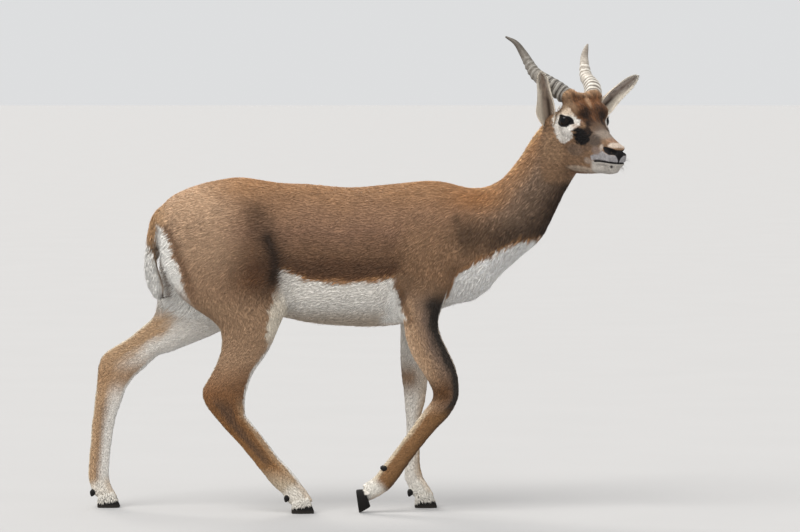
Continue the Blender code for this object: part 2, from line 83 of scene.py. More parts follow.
FILLINGS = (                                # middle and radii of the flesh under eye and horn
    (EYE_CENTRE, (EYE_RADIUS + 2.6,) * 3), (HORN_BASE, (21, 19, 17)), (EYE_MOUND, (28, 15, 24)),
)
EAR_FILLING = (15, 12, 17)
HEAD_MESH_REAR = -112                       # where the finer mesh of the head begins


def to_head(points):
    """Points of the world in the head's frame, in millimetres."""
    return (points - np.array(BROW)) @ HEAD_AXES / MM


def from_head(ways):
    """Directions of the head's frame in the world."""
    return np.asarray(ways) @ HEAD_AXES.T


def step(value, low, high):
    """Smooth step from 0 at low to 1 at high."""
    t = np.clip((value - low) / (high - low), 0, 1)
    return t * t * (3 - 2 * t)


def fall(value, low, high):
    """Smooth step from 1 at low to 0 at high."""
    return 1 - step(value, low, high)


def bell(*offsets):
    """One where all offsets are zero, falling off to nothing a little past one."""
    return np.exp(-sum(offset ** 2 for offset in offsets))


def mix(a, b, share):
    """Blend from a to b, for values or for rows of them."""
    share = np.asarray(share)
    if np.ndim(a + b) > 1 and share.ndim == 1:
        share = share[:, None]
    return a + (b - a) * share


def unit(vectors):
    """Vectors scaled to length one."""
    return vectors / np.maximum(np.linalg.norm(vectors, axis=-1, keepdims=True), 1e-12)


def read(items, name, width=1, kind=float):
    """An attribute of a mesh's items, as rows of the given width."""
    values = np.empty(len(items) * width, kind)
    items.foreach_get(name, values)
    return values.reshape(-1, width) if width > 1 else values


def mesh_arrays(data):
    """Vertex places and edges of a mesh."""
    return read(data.vertices, "co", 3), read(data.edges, "vertices", 2, int)


def place_tree(places):
    """A tree that finds the nearest of some places."""
    tree = KDTree(len(places))
    for i, place in enumerate(places):
        tree.insert(place, i)
    tree.balance()
    return tree


def linked(name, data):
    """A new object in the scene, at the origin."""
    made = bpy.data.objects.new(name, data)
    bpy.context.scene.collection.objects.link(made)
    return made


def neighbour_mean(values, edges):
    """Mean of each vertex's neighbours."""
    count = np.bincount(edges.ravel(), minlength=len(values))
    total = np.zeros_like(values)
    for column in range(values.shape[1]):
        total[:, column] = (np.bincount(edges[:, 0], values[edges[:, 1], column], len(values))
                            + np.bincount(edges[:, 1], values[edges[:, 0], column], len(values)))
    return total / np.maximum(count, 1)[:, None]


def relax(places, edges, rounds, where=1.0):
    """Smooths without shrinking, by turns of drawing in and pushing out."""
    for _ in range(rounds):
        for share in (0.5, -0.52):
            places = places + (neighbour_mean(places, edges) - places) * share * where
    return places


def joined_flesh():
    """The flesh solids as one closed mesh of even quads."""
    flesh = bmesh.new()
    for name in FLESH:
        flesh.from_mesh(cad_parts[name].data)
    bmesh.ops.remove_doubles(flesh, verts=flesh.verts[:], dist=1e-6)
    flesh.normal_update()
    for vertex in flesh.verts:
        vertex.co += vertex.normal * SOLID_GAP
    fillings = [((x, side * y, z), radii) for side in (-1, 1) for (x, y, z), radii in FILLINGS]
    fillings += [(root, EAR_FILLING) for root in EAR_ROOTS.values()]
    for middle, radii in fillings:
        place = HEAD @ Matrix.Translation(middle) @ Matrix.Diagonal((*radii, 1))
        bmesh.ops.create_uvsphere(flesh, u_segments=24, v_segments=16, radius=1, matrix=place)
    data = bpy.data.meshes.new("flesh")
    flesh.to_mesh(data)
    flesh.free()
    whole = linked("flesh", data)
    join = whole.modifiers.new("Join", "REMESH")
    join.mode = "VOXEL"
    join.voxel_size = SKIN_VOXEL
    bpy.context.view_layer.update()
    shown = whole.evaluated_get(bpy.context.evaluated_depsgraph_get())
    data = bpy.data.meshes.new_from_object(shown)
    bpy.data.objects.remove(whole)
    return data


def refine(mesh, cuts, wanted):
    """Cuts the faces whose centres are wanted into smaller ones, with no stray corners left."""
    centres = np.array([face.calc_center_median() for face in mesh.faces])
    chosen = wanted(to_head(centres))
    edges = {edge for face, take in zip(mesh.faces, chosen) if take for edge in face.edges}
    bmesh.ops.subdivide_edges(mesh, edges=list(edges), cuts=cuts, use_grid_fill=True)
    bmesh.ops.triangulate(mesh, faces=[face for face in mesh.faces if len(face.verts) > 4])


def head_depth(h):
    """How far inside the finer mesh of the head each point lies, from 0 at its border to 1."""
    depth = step(h[:, 0], HEAD_MESH_REAR, HEAD_MESH_REAR + 16) * fall(np.abs(h[:, 1]), 60, 72)
    return depth * step(h[:, 2], -140, -125) * fall(h[:, 2], 62, 75)


def on_head(h):
    """Where the finer mesh of the head lies."""
    return head_depth(h) > 0


def one_side(h):
    """Head points folded onto the left side."""
    return np.column_stack((h[:, 0], np.abs(h[:, 1]), h[:, 2]))


def from_eye(h):
    """Distance to the centre of the nearer eye."""
    return np.linalg.norm(one_side(h) - EYE_CENTRE, axis=1)


def on_features(h):
    """Eyes, glands, nostrils and mouth."""
    muzzle = (h[:, 0] > 70) & (h[:, 2] > -98)
    mouth = (h[:, 0] > 38) & (np.abs(h[:, 2] + 83) < 10)
    return (from_eye(h) < 32) | muzzle | mouth


def bump(h, centre, radii):
    """One at a place of the left side and of the right side, falling to nothing at the radii."""
    return np.exp(-2.2 * (((one_side(h) - centre) / radii) ** 2).sum(1))


def line_distance(points, line):
    """Distance from each point to a line of points, and how far along the line it is, 0 to 1."""
    line = np.array(line, float)
    nearest = np.full(len(points), np.inf)
    along = np.zeros(len(points))
    for i, (a, b) in enumerate(zip(line, line[1:])):
        t = np.clip(((points - a) @ (b - a)) / ((b - a) @ (b - a)), 0, 1)
        distance = np.linalg.norm(points - a - t[:, None] * (b - a), axis=1)
        closer = distance < nearest
        nearest[closer] = distance[closer]
        along[closer] = (i + t[closer]) / (len(line) - 1)
    return nearest, along


NOSTRIL = ((78, 22.8, -51), (91, 22, -54.5), (103, 18.5, -57), (110, 10.5, -58.5))
NOSTRIL_HALF_HEIGHT = (2.4, 4.6, 5.6, 4.6)
NOSTRIL_DEPTH = (0.8, 4.0, 7.5, 6.0)
GLAND = ((-2, 38, -29), (9, 35, -37), (20, 31, -42), (28, 28, -43))
MOUTH_X = (42, 64, 97, 114)
MOUTH_Z = (-85, -82, -80, -81)
FACE_BUMPS = (                              # height, place and radii
    (1.2, (-34, 42, 18), (24, 12, 7)),      # brow over the eye
    (1.6, (-14, 42, -34), (34, 14, 11)),    # cheekbone
    (-2.0, (-84, 40, 4), (16, 14, 16)),     # temple
    (-1.4, (42, 25, -44), (30, 12, 12)),    # hollow beside the nose
    (1.4, (100, 0, -101), (14, 16, 8)),     # chin
)
LIP_FOLDS = ((1.0, 4.5, 3.2), (0.5, -4.5, 2.6), (-2.8, 0, 1.25), (-0.8, -11, 3))    # height, place, width


def nostril(h):
    """Distance to the nearer nostril's line, over its half height, and how far along it."""
    distance, along = line_distance(one_side(h), NOSTRIL)
    return distance / np.interp(along * 3, range(4), NOSTRIL_HALF_HEIGHT), along


def mouth_over(h):
    """Height over the line of the mouth."""
    return h[:, 2] - np.interp(h[:, 0], MOUTH_X, MOUTH_Z)


def face_relief(h):
    """How far the face stands out, in mm, for lips, nostrils, gland, brow and cheek."""
    relief = sum(height * bump(h, centre, radii) for height, centre, radii in FACE_BUMPS)
    gland, along = line_distance(one_side(h), GLAND)
    open_part = np.sin(np.pi * (0.08 + 0.84 * along)) ** 0.7
    relief += open_part * (1.4 * bell(gland / 7.0) - 2.8 * bell(gland / 2.8))
    near, along = nostril(h)
    relief += 1.5 * bell((near - 1.7) / 0.7) * step(along, 0.05, 0.4)
    relief -= np.interp(along * 3, range(4), NOSTRIL_DEPTH) * fall(near, 0.35, 1.15)
    over = mouth_over(h)
    folds = sum(height * bell((over - z) / width) for height, z, width in LIP_FOLDS)
    relief += step(h[:, 0], 42, 52) * folds
    front = step(h[:, 0], 98, 108) * (np.abs(over - 12) < 16)
    relief -= front * 1.5 * bell((h[:, 1] + 1.5) / 1.4) * step(over, 0, 3)     # cleft of the lip
    return relief


FRONT_CORNER = (88.0, -9.5)                # degrees from the eye's axis, along and over the lid line
REAR_CORNER = (-81.0, 1.0)
UPPER_LID = (33.0, 0.50, 0.80)              # height over or under the lid line, and the edge's slopes
LOWER_LID = (41.0, 0.55, 0.75)              # at the rear and in front


def lid_edge(s, height, rear, front):
    """Height of a lid's edge over the line of the corners, steep at the rear and long in front."""
    top = (rear / (rear + front)) ** rear * (front / (rear + front)) ** front
    return height * s ** rear * (1 - s) ** front / top


def eye_frame(side):
    """An eye's mirroring, its axis, and the ways along and across its lid line."""
    mirror = np.array((1, side, 1))
    axis = unit(np.array(EYE_AXIS) * mirror)
    along = np.array(LID_LINE) * mirror
    along = unit(along - axis * (along @ axis))
    return mirror, axis, along, np.cross(axis, along) * -side


def eye_plane(h, side):
    """Each point as seen from the eyeball's centre: on a flat chart of degrees, and its distance."""
    mirror, axis, along, across = eye_frame(side)
    away = h - np.array(EYE_CENTRE) * mirror
    distance = np.linalg.norm(away, axis=1)
    ray = away / distance[:, None]
    off = np.degrees(np.arccos(np.clip(ray @ axis, -1, 1)))
    spread = off / np.maximum(np.hypot(ray @ along, ray @ across), 1e-9)
    return ray @ along * spread, ray @ across * spread, distance, ray


def opening_distance(u, v):
    """Millimetres along the eyeball from the lids' edge: below zero inside the opening."""
    s = np.linspace(0, 1, 41)
    line_u = mix(REAR_CORNER[0], FRONT_CORNER[0], s)
    line_v = mix(REAR_CORNER[1], FRONT_CORNER[1], s)
    upper = line_v + lid_edge(s, *UPPER_LID)
    lower = line_v - lid_edge(s, *LOWER_LID)
    points = np.column_stack((u, v, np.zeros(len(u))))
    away = np.full(len(u), np.inf)
    for edge in (upper, lower):
        away = np.minimum(away, line_distance(points, np.column_stack((line_u, edge, s * 0)))[0])
    inside = ((u > REAR_CORNER[0]) & (u < FRONT_CORNER[0])
              & (v < np.interp(u, line_u, upper)) & (v > np.interp(u, line_u, lower)))
    return np.radians(np.where(inside, -away, away)) * EYE_RADIUS


def lid_distance(h, side, reach, widest):
    """Millimetres from the lids' edge near an eye, with each point's height, distance and ray."""
    u, v, distance, ray = eye_plane(h, side)
    close = (h[:, 1] * side > 0) & (distance < EYE_RADIUS + reach) & (np.hypot(u, v) < widest)
    out = np.full(len(h), 99.0)
    out[close] = opening_distance(u[close], v[close])
    return out, v, distance, ray


def add_lids(h):
    """Lays the skin over each eyeball as two lids with rounded edges and a fold over the upper."""
    near = np.zeros(len(h))
    for side in (-1, 1):
        out, v, distance, ray = lid_distance(h, side, 16, 150)
        edge = EYE_RADIUS - 3.0 + 4.0 * step(out, -1.5, 0.0) + 1.2 * step(out, 0.0, 2.5)
        fold = -1.1 * bell((out - 6.4) / 1.5) * step(v, 8, 25)
        share = fall(out, 2.0, 10.0) * fall(distance, EYE_RADIUS + 7, EYE_RADIUS + 13)
        height = distance + (edge + fold - distance) * share
        moved = np.array(EYE_CENTRE) * (1, side, 1) + ray * height[:, None]
        h = np.where((share > 0)[:, None], moved, h)
        near = np.maximum(near, step(out, 1.8, 5.0) * fall(out, 16, 24))
    return h, near


FACE_SAMPLES = (                            # weights of two corners, for samples spread over a face
    (0.33, 0.33), (0.1, 0.1), (0.8, 0.1), (0.1, 0.8), (0.45, 0.1), (0.1, 0.45), (0.45, 0.45),
)


def solid_shares(places, edges):
    """The share of each solid of flesh at each vertex, softened across the solids' borders."""
    samples, owners = [], []
    for number, name in enumerate(FLESH):
        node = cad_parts[name].data
        corners = read(node.vertices, "co", 3)
        faces = np.array([face.vertices for face in node.polygons])
        for a, b in FACE_SAMPLES:
            samples.append(corners[faces].transpose(0, 2, 1) @ (a, b, 1 - a - b))
            owners.append(np.full(len(faces), number))
    samples, owners = np.concatenate(samples), np.concatenate(owners)
    tree = place_tree(samples)
    shares = np.eye(len(FLESH))[owners[[tree.find(place)[1] for place in places]]]
    for _ in range(14):
        shares = (shares + neighbour_mean(shares, edges)) / 2
    return shares


def skin_data():
    """The skin's mesh, with an unwrap named OFBake, and the share of each solid at each vertex."""
    data = joined_flesh()
    places, edges = mesh_arrays(data)
    places = relax(places, edges, 4)
    data.vertices.foreach_set("co", places.ravel())
    data.uv_layers.new(name="OFBake")
    body = linked("skin", data)
    bpy.context.view_layer.objects.active = body
    body.select_set(True)
    bpy.ops.object.mode_set(mode="EDIT")
    bpy.ops.mesh.select_all(action="SELECT")
    bpy.ops.uv.smart_project(angle_limit=math.radians(66), island_margin=0.003)
    bpy.ops.object.mode_set(mode="OBJECT")

    coarse, coarse_shares = places, solid_shares(places, edges)
    mesh = bmesh.new()
    mesh.from_mesh(body.data)
    refine(mesh, 2, on_head)
    refine(mesh, 1, on_features)
    mesh.to_mesh(body.data)
    mesh.free()
    places, edges = mesh_arrays(body.data)
    places = relax(places, edges, 22, head_depth(to_head(places))[:, None])
    body.data.vertices.foreach_set("co", places.ravel())
    body.data.update()

    tree = place_tree(coarse)
    shares = np.empty((len(places), len(FLESH)))
    for i, place in enumerate(places):
        near = tree.find_n(place, 4)
        weights = np.array([1 / (found[2] + 1e-4) for found in near])
        shares[i] = weights @ coarse_shares[[found[1] for found in near]] / weights.sum()
    return body, shares


def shaped(body, shares):
    """Pushes the face's relief and the lids into the skin, then sinks it by the coat's depth."""
    body.data.update()
    places, edges = mesh_arrays(body.data)
    h = to_head(places)
    near_head = (shares[:, FACE] > 0.02) & (h[:, 0] > HEAD_MESH_REAR)
    relief = np.zeros((len(h), 1))
    relief[near_head, 0] = face_relief(h[near_head])
    for _ in range(2):
        relief = (relief + neighbour_mean(relief, edges)) / 2
    places = places + read(body.data.vertices, "normal", 3) * relief * MM

    depth = shares @ np.array([COAT_DEPTH[kind] for kind in KINDS])
    legs = shares[:, HIND_LEGS[0]:].sum(1)
    depth = mix(depth, LOWER_LEG_DEPTH, legs * fall(places[:, 2], 0.20, 0.34)) + SOLID_GAP / MM
    bare = np.maximum(fall(from_eye(h), 22, 34), step(h[:, 0], 80, 100) * 0.75) * near_head
    depth = depth * (1 - bare) + BARE_DEPTH * bare

    body.data.vertices.foreach_set("co", places.ravel())
    body.data.update()
    places = places - read(body.data.vertices, "normal", 3) * (depth * MM)[:, None]
    h = to_head(places)
    lidded, near_lids = add_lids(h)
    places = places + from_head(lidded - h) * MM
    places = relax(places, edges, 9, near_lids[:, None])
    body.data.vertices.foreach_set("co", places.ravel())
    body.data.update()


skin, skin_shares = skin_data()
shaped(skin, skin_shares)
skin.data.shade_smooth()
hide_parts(*FLESH)
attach(skin, "root")

# ------------------------------------------------------------------------------------------------
# The markings: the colour of the hair at any place, from the height on the body, from which way
# the flesh faces on a leg, and from patches laid on the face, with some light and shade painted
# into it. Skin and coat both take it.
MIDDLE = 26.0                                # the body's middle plane, mm
WHITE_HAIR = (0.86, 0.84, 0.80)
# Partly the coat's own colour, with its dark band low on the side, partly painted light and shade: the back
# and upper thigh paler where the light falls, the lower side darker.
BODY_COLOUR_AND_LIGHT_BY_HEIGHT = (
    (430, 0.15, 0.073, 0.036), (505, 0.130, 0.060, 0.028), (530, 0.105, 0.051, 0.027),
    (560, 0.18, 0.100, 0.057), (600, 0.27, 0.155, 0.097), (640, 0.34, 0.199, 0.120),
    (680, 0.39, 0.222, 0.120), (715, 0.46, 0.252, 0.123),
)
THIGH_COLOUR_AND_LIGHT_BY_HEIGHT = ((440, 0.35, 0.215, 0.130), (560, 0.43, 0.285, 0.182), (640, 0.56, 0.375, 0.245))
BODY_SPOTS = (                               # colour, middle in x and height, radii, and strength
    # The croup's pale spot is painted light on the top of the rump.
    ((0.76, 0.52, 0.34), (-385, 690), (75, 45), 0.8),                  # croup
    ((0.060, 0.037, 0.024), (300, 588), (75, 38), 0.75),               # base of the throat
    ((0.055, 0.034, 0.022), (226, 596), (36, 32), 0.65),               # before the shoulder
    ((0.43, 0.200, 0.078), (240, 674), (60, 26), 0.65),                # before the withers
)
# Painted light at the nape, as from a light behind and above, and painted shade under the throat; the
# grey-brown between is the coat's own.
NECK_COLOUR_AND_LIGHT_ACROSS = (                              # from the nape, 0, to the throat, 1
    (0.0, 0.84, 0.53, 0.270), (0.10, 0.47, 0.262, 0.132), (0.4, 0.27, 0.182, 0.125),
    (0.7, 0.150, 0.100, 0.069), (1.0, 0.036, 0.020, 0.012),
)
NAPE_LINE = ((176, 709), (262, 699), (322, 744), (357, 797), (404, 850))
THROAT_LINE = ((232, 418), (297, 503), (383, 583), (432, 679), (468, 744))
BELLY_EDGE = (
    (-210, 545), (-172, 522), (-157, 518), (-135, 505), (-114, 499), (-71, 494.5), (-28, 494.5),
    (15, 496.7), (47, 503), (72, 503), (140, 470), (174, 449), (183, 466.6), (198, 505), (208.5, 518),
    (230, 529), (247, 539.7), (273, 546), (294.5, 561), (316, 572), (337.5, 580.5), (382.7, 582.6),
)
RUMP_EDGE = (
    (389, -300), (454, -369), (497, -386), (522, -390), (550, -405), (583, -415), (604, -427), (622, -443),
)
TAIL_SHADE = ((-446, 572), (-440, 552), (-424, 500), (-416, 462))      # on the rump, under the tail
# Lines of painted shade in the fold between thigh and flank, where the hair is darker too.
FLANK_SHADE_LINE = ((-226, 0, 640), (-204, 0, 590), (-190, 0, 535), (-204, 0, 482))
FLANK_SHADE_CORE = ((-202, 0, 590), (-190, 0, 560), (-184, 0, 530), (-192, 0, 498))
# The crease before the shoulder, darkened as painted shade.
SHOULDER_SHADE_LINE = ((199, 0, 634), (219, 0, 559))
HIND_BY_HEIGHT = (
    (60, 0.56, 0.46, 0.34), (100, 0.33, 0.172, 0.070), (180, 0.265, 0.124, 0.044),
    (255, 0.25, 0.118, 0.050), (330, 0.43, 0.275, 0.170), (450, 0.36, 0.228, 0.138),
    (600, 0.42, 0.270, 0.172),
)
FORE_ACROSS = (                              # from the rear of the forearm, -1, to its front, 1
    (-1.0, 0.80, 0.56, 0.37), (-0.25, 0.48, 0.310, 0.192), (0.12, 0.22, 0.150, 0.110),
    (0.38, 0.045, 0.036, 0.030), (1.0, 0.028, 0.022, 0.018),
)
ELBOW_DARK = ((147, 0, 447), (160, 0, 425), (166, 0, 400))
CANNON_ACROSS = (                            # the same below the knee
    (-1.0, 0.74, 0.65, 0.52), (-0.55, 0.64, 0.52, 0.37), (-0.3, 0.28, 0.150, 0.068),
    (0.4, 0.22, 0.115, 0.048), (0.8, 0.13, 0.072, 0.038), (1.0, 0.10, 0.055, 0.030),
)
SLAB = 9.0                                   # half the height of a slice of a leg
SLAB_STEP = 12.0
PASTERN_MIDDLE = (16, 24)                    # before and over the heel
FEET = {                                     # heel x, side y, pitch in degrees, lift, in mm
    "hind_right": (-153, -40, 0, 0), "hind_left": (-577, 90, 0, 0),
    "fore_left": (111, 86, 0, 0), "fore_right": (-15, -30, 82, 49),
}
WHITE_PATCH = (                              # round the eye, x and z of the head
    (-90, 0), (-84, 11), (-64, 20), (-47, 22), (-29, 17), (-21, 8), (-16, -1), (-10, -4), (-7, -10),
    (-8, -17), (-12, -22), (-14, -30), (-15, -38), (-20, -45), (-29, -51), (-44, -58), (-60, -58),
    (-69, -50), (-76, -38), (-83, -26), (-88, -12),
)
EYE_SHAPE = (                                # lids' rim and the corners of the eye
    (-72, -8), (-64, -2), (-51, 2), (-40, 2.5), (-30, 2), (-24, -2), (-20, -8), (-17, -13), (-28, -17),
    (-35, -22), (-43, -23), (-52, -20), (-65, -15),
)
BLACK_PATCH = (                              # round the gland before the eye
    (-7, -16), (-1, -19), (4, -20), (11, -16), (17, -16), (23, -24), (27, -37), (25, -47), (17, -54),
    (7, -56), (-5, -55), (-11, -46), (-10, -34), (-11, -22),
)
BROW_STREAK = ((16, -28), (9, -14), (0, -2), (-9, 8), (-17, 16))      # from that patch up the brow
ABOVE_EYE = ((-90, 4), (-72, 14), (-56, 19), (-44, 22))
INNER_CORNER = ((-19, -15), (-12, -19))
NOSE_PAD_HEIGHT = (-82, -76, -70, -63, -57)   # bare skin between the nostrils, a funnel down to the lip
NOSE_PAD_WIDTH = (1.3, 2.0, 4.5, 11.0, 14.0)
LIP_PATCH = (
    (33, -75), (58, -66), (76, -59), (90, -61), (104, -64), (116, -64), (116, -81), (100, -81), (80, -80),
    (50, -82), (33, -84),
)
JAW_SPOTS = (                                # colour, centre, radii and strength
    ((0.30, 0.190, 0.113), (-70, 55, -70), (34, 30, 40), 0.7),        # corner of the jaw
    ((0.17, 0.120, 0.088), (-12, 36, -68), (34, 16, 16), 0.7),        # cheek
    ((0.47, 0.385, 0.305), (0, 20, -108), (62, 22, 9), 0.75),         # edge of the jaw
    ((0.24, 0.130, 0.075), (-30, 0, -122), (70, 22, 12), 0.8),        # between the jaws
)
BROW_SPOTS = (
    ((0.075, 0.042, 0.029), (-4, 0, 8), (22, 12, 20), 0.25),
    ((0.050, 0.030, 0.021), (-22, 21, 12), (13, 8, 14), 0.75),
)
MUZZLE_SPOTS = (
    ((0.275, 0.228, 0.190), (44, 0, -26), (40, 26, 20), 0.9),         # bridge of the nose
    ((0.100, 0.062, 0.043), (16, 8, -16), (26, 20, 20), 0.7),         # its root
    ((0.085, 0.067, 0.057), (42, 23, -41), (28, 13, 17), 0.85),       # its side
    ((0.34, 0.210, 0.145), (80, 3, -36), (15, 11, 8), 0.6),           # its end
    ((0.62, 0.52, 0.44), (99, 8, -44), (14, 19, 7), 0.85),            # over the nostrils
    ((0.62, 0.55, 0.49), (70, 24, -52), (9, 8, 10), 0.6),             # behind them
)
CHEEK_SPOTS = (
    ((0.055, 0.045, 0.042), (23, 27, -59), (13, 12, 9), 0.4),         # under the black patch
    ((0.62, 0.575, 0.52), (21, 23, -86), (13, 9, 8), 0.3),            # corner of the mouth
)
CHIN_SPOT = ((102, 11, -89), (3.2, 4.0, 4.6))     # on the right side only


def waves(points, size, seed):
    """Soft noise about zero on points, in swells of about the given size."""
    draw = np.random.default_rng(seed)
    total = np.zeros(len(points))
    for _ in range(6):
        way = unit(draw.normal(size=3)) * 2 * math.pi / size * draw.uniform(0.7, 1.5)
        total += np.sin(points @ way + draw.uniform(0, 2 * math.pi))
    return total / 2.4


def paint(colours, colour, mask):
    """Lays a colour, or rows of colours, over others where the mask says."""
    colours = np.asarray(colours)
    return colours + (np.array(colour) - colours) * np.asarray(mask)[:, None]


def layered(colours, layers):
    """Lays pairs of a colour and a mask over other colours, one after another."""
    for colour, mask in layers:
        colours = paint(colours, colour, mask)
    return colours


def by_key(value, rows):
    """Colours read from rows of a key and a colour."""
    rows = np.array(rows)
    return np.column_stack([np.interp(value, rows[:, 0], rows[:, k]) for k in (1, 2, 3)])


def flat_line(a, b, line):
    """Distance from points of a plane to a line of that plane."""
    points = np.column_stack((a, b, np.zeros(len(a))))
    return line_distance(points, [(*place, 0) for place in line])[0]


def patch(a, b, outline, soft):
    """One inside a closed outline, falling to nothing over its soft edge."""
    inside = np.zeros(len(a), bool)
    for (x0, z0), (x1, z1) in zip(outline, outline[1:] + outline[:1]):
        crosses = (z0 > b) != (z1 > b)
        with np.errstate(divide="ignore", invalid="ignore"):
            inside ^= crosses & (a < (x1 - x0) * (b - z0) / (z1 - z0) + x0)
    away = flat_line(a, b, outline + outline[:1])
    return fall(np.where(inside, -away, away), -soft, soft)


def blot(h, centre, radii):
    """One at the middle of an egg-shaped spot of both sides of the head, nothing outside it."""
    return fall(np.linalg.norm((one_side(h) - centre) / radii, axis=1), 0.55, 1.15)


def soft_spots(h, spots):
    """Layers for soft spots of the head."""
    return [(colour, blot(h, centre, radii) * strength) for colour, centre, radii, strength in spots]


def leg_lines(places, shares):
    """Rows of height, middle x and y, and the forward direction in x and z, for each leg."""
    lines = {}
    for number in HIND_LEGS + FORELEGS:
        own = places[shares[:, number] > 0.6] / MM
        heights = np.arange(own[:, 2].min() + 6, own[:, 2].max() - 6, SLAB_STEP)
        slabs = [own[np.abs(own[:, 2] - height) < SLAB][:, :2] for height in heights]
        middle = np.array([(slab.min(0) + slab.max(0)) / 2 for slab in slabs])
        for _ in range(4):
            middle[1:-1] = (middle[:-2] + 2 * middle[1:-1] + middle[2:]) / 4
        down = unit(np.column_stack((-np.gradient(middle[:, 0], heights), np.full(len(heights), -1.0))))
        lines[number] = np.column_stack((heights, middle, -down[:, 1], down[:, 0]))
    return lines


def leg_ahead(number, heights):
    """The forward direction of a leg in x and z at each height."""
    line = LEG_LINES[number]
    return [np.interp(heights, line[:, 0], line[:, column]) for column in (3, 4)]


def leg_facing(number, w, n):
    """How far a leg's surface faces forwards, and outwards from the body."""
    ahead_x, ahead_z = leg_ahead(number, w[:, 2])
    side = -1 if FLESH[number].endswith("right") else 1
    return n[:, 0] * ahead_x + n[:, 2] * ahead_z, n[:, 1] * side


def near_foot(w):
    """One at the pasterns and below."""
    near = np.zeros(len(w))
    for heel, side, pitch, lift in FEET.values():
        turn = math.radians(pitch)
        ahead, up = PASTERN_MIDDLE
        middle = (heel + ahead * math.cos(turn) + up * math.sin(turn), side,
                  lift - ahead * math.sin(turn) + up * math.cos(turn))
        near = np.maximum(near, fall(np.linalg.norm(w - middle, axis=1), 30, 50))
    return near


def flank_fold_shade(w):
    """Layers of painted shade in the fold between thigh and flank, where the hair is darker too: a soft
    brown halo round a dark core.
    """
    flat = w * (1, 0, 1)
    outer = step(np.abs(w[:, 1] - MIDDLE), 50, 70)
    halo = bell(line_distance(flat, FLANK_SHADE_LINE)[0] / 34)
    core = bell(line_distance(flat, FLANK_SHADE_CORE)[0] / 13)
    return ((0.075, 0.042, 0.025), halo * 0.66 * outer), ((0.014, 0.010, 0.008), core * 0.78 * outer)


def hind_colours(number, w, n):
    """Hair of a hind leg: tan outside, white inside and along the front."""
    ahead, out = leg_facing(number, w, n)
    height = w[:, 2]
    cannon = fall(height, 225, 265)
    tendon = step(height, 85, 120) * bell((ahead + 0.1) / 0.22)
    hock = bell((height - 262) / 30) * step(ahead, -0.2, 0.4)
    outer = layered(by_key(height, HIND_BY_HEIGHT), (
        ((0.46, 0.32, 0.20), cannon * step(ahead, 0.15, 0.5) * 0.75),
        ((0.10, 0.062, 0.042), cannon * tendon * 0.8),
        ((0.19, 0.10, 0.050), hock * 0.7),
    ))
    in_front = w[:, 0] - np.interp(height, (378, 432, 479), (-208, -200, -187)) + 3 * waves(w, 14, 2)
    cream = step(in_front, -3, 5) * step(height, 350, 385) * fall(height, 482, 505)
    lower = fall(height, 400, 450)
    hock = bell((height - 285) / 34) * fall(ahead, 0.5, 0.8)
    tendon = fall(height, 215, 255) * bell((ahead + 0.05) / 0.2)
    inner = layered((0.80, 0.765, 0.715), (
        ((0.49, 0.325, 0.195), lower * fall(ahead, -0.2, 0.2)),
        ((0.44, 0.270, 0.150), hock * 0.9),
        ((0.16, 0.080, 0.038), tendon * 0.45),
    ))
    return layered(outer, (
        (inner, fall(out, -0.2, 0.22)),
        ((0.80, 0.70, 0.54), lower * fall(ahead, -0.95, -0.72) * fall(out, 0.1, 0.5)),
        (WHITE_HAIR, step(ahead, 0.60, 0.86) * fall(height, 330, 400)),
        *flank_fold_shade(w),
        ((0.80, 0.72, 0.60), cream),
        ((0.80, 0.755, 0.68), near_foot(w) * 0.9),
        ((0.60, 0.43, 0.28), near_foot(w) * step(ahead, 0.0, 0.7) * 0.45),
    ))


def fore_colours(number, w, n):
    """Hair of a foreleg: tan behind, black down the front to the knee, white inside."""
    ahead, out = leg_facing(number, w, n)
    height = w[:, 2]
    knee = bell((height - 258) / 34) * fall(ahead, 0.0, 0.5)
    elbow = bell(line_distance(w * (1, 0, 1), ELBOW_DARK)[0] / 17)
    behind = np.interp(height, (420, 505), (90, 61)) - w[:, 0] + 3 * waves(w, 14, 2)
    armpit = step(height, 385, 415) * fall(height, 498, 512)
    forearm = layered(by_key(ahead, FORE_ACROSS), (
        ((0.25, 0.150, 0.088), step(height, 440, 490)),
        ((0.115, 0.052, 0.020), knee * 0.95),
        ((0.028, 0.022, 0.018), elbow * 0.9),
        ((0.20, 0.110, 0.058), bell((behind + 9) / 8) * armpit * 0.7),
        (WHITE_HAIR, step(behind, -3, 4) * armpit),
    ))
    inner = layered((0.74, 0.70, 0.645), (
        ((0.31, 0.205, 0.135), bell((height - 282) / 30) * fall(ahead, -0.2, 0.5)),
        ((0.50, 0.36, 0.23), step(ahead, 0.55, 0.85) * fall(height, 225, 260)),
        ((0.48, 0.36, 0.25), step(ahead, -0.1, 0.5) * fall(height, 380, 440) * 0.65),
    ))
    front_line = 0.30 * step(ahead, 0.6, 0.9) * step(height, 270, 310)
    return layered(forearm, (
        (by_key(ahead, CANNON_ACROSS), fall(height, 205, 235)),
        (inner, fall(out - front_line, 0.0, 0.26)),
        ((0.82, 0.785, 0.72), near_foot(w)),
        ((0.62, 0.45, 0.30), near_foot(w) * step(ahead, 0.1, 0.8) * 0.5),
    ))


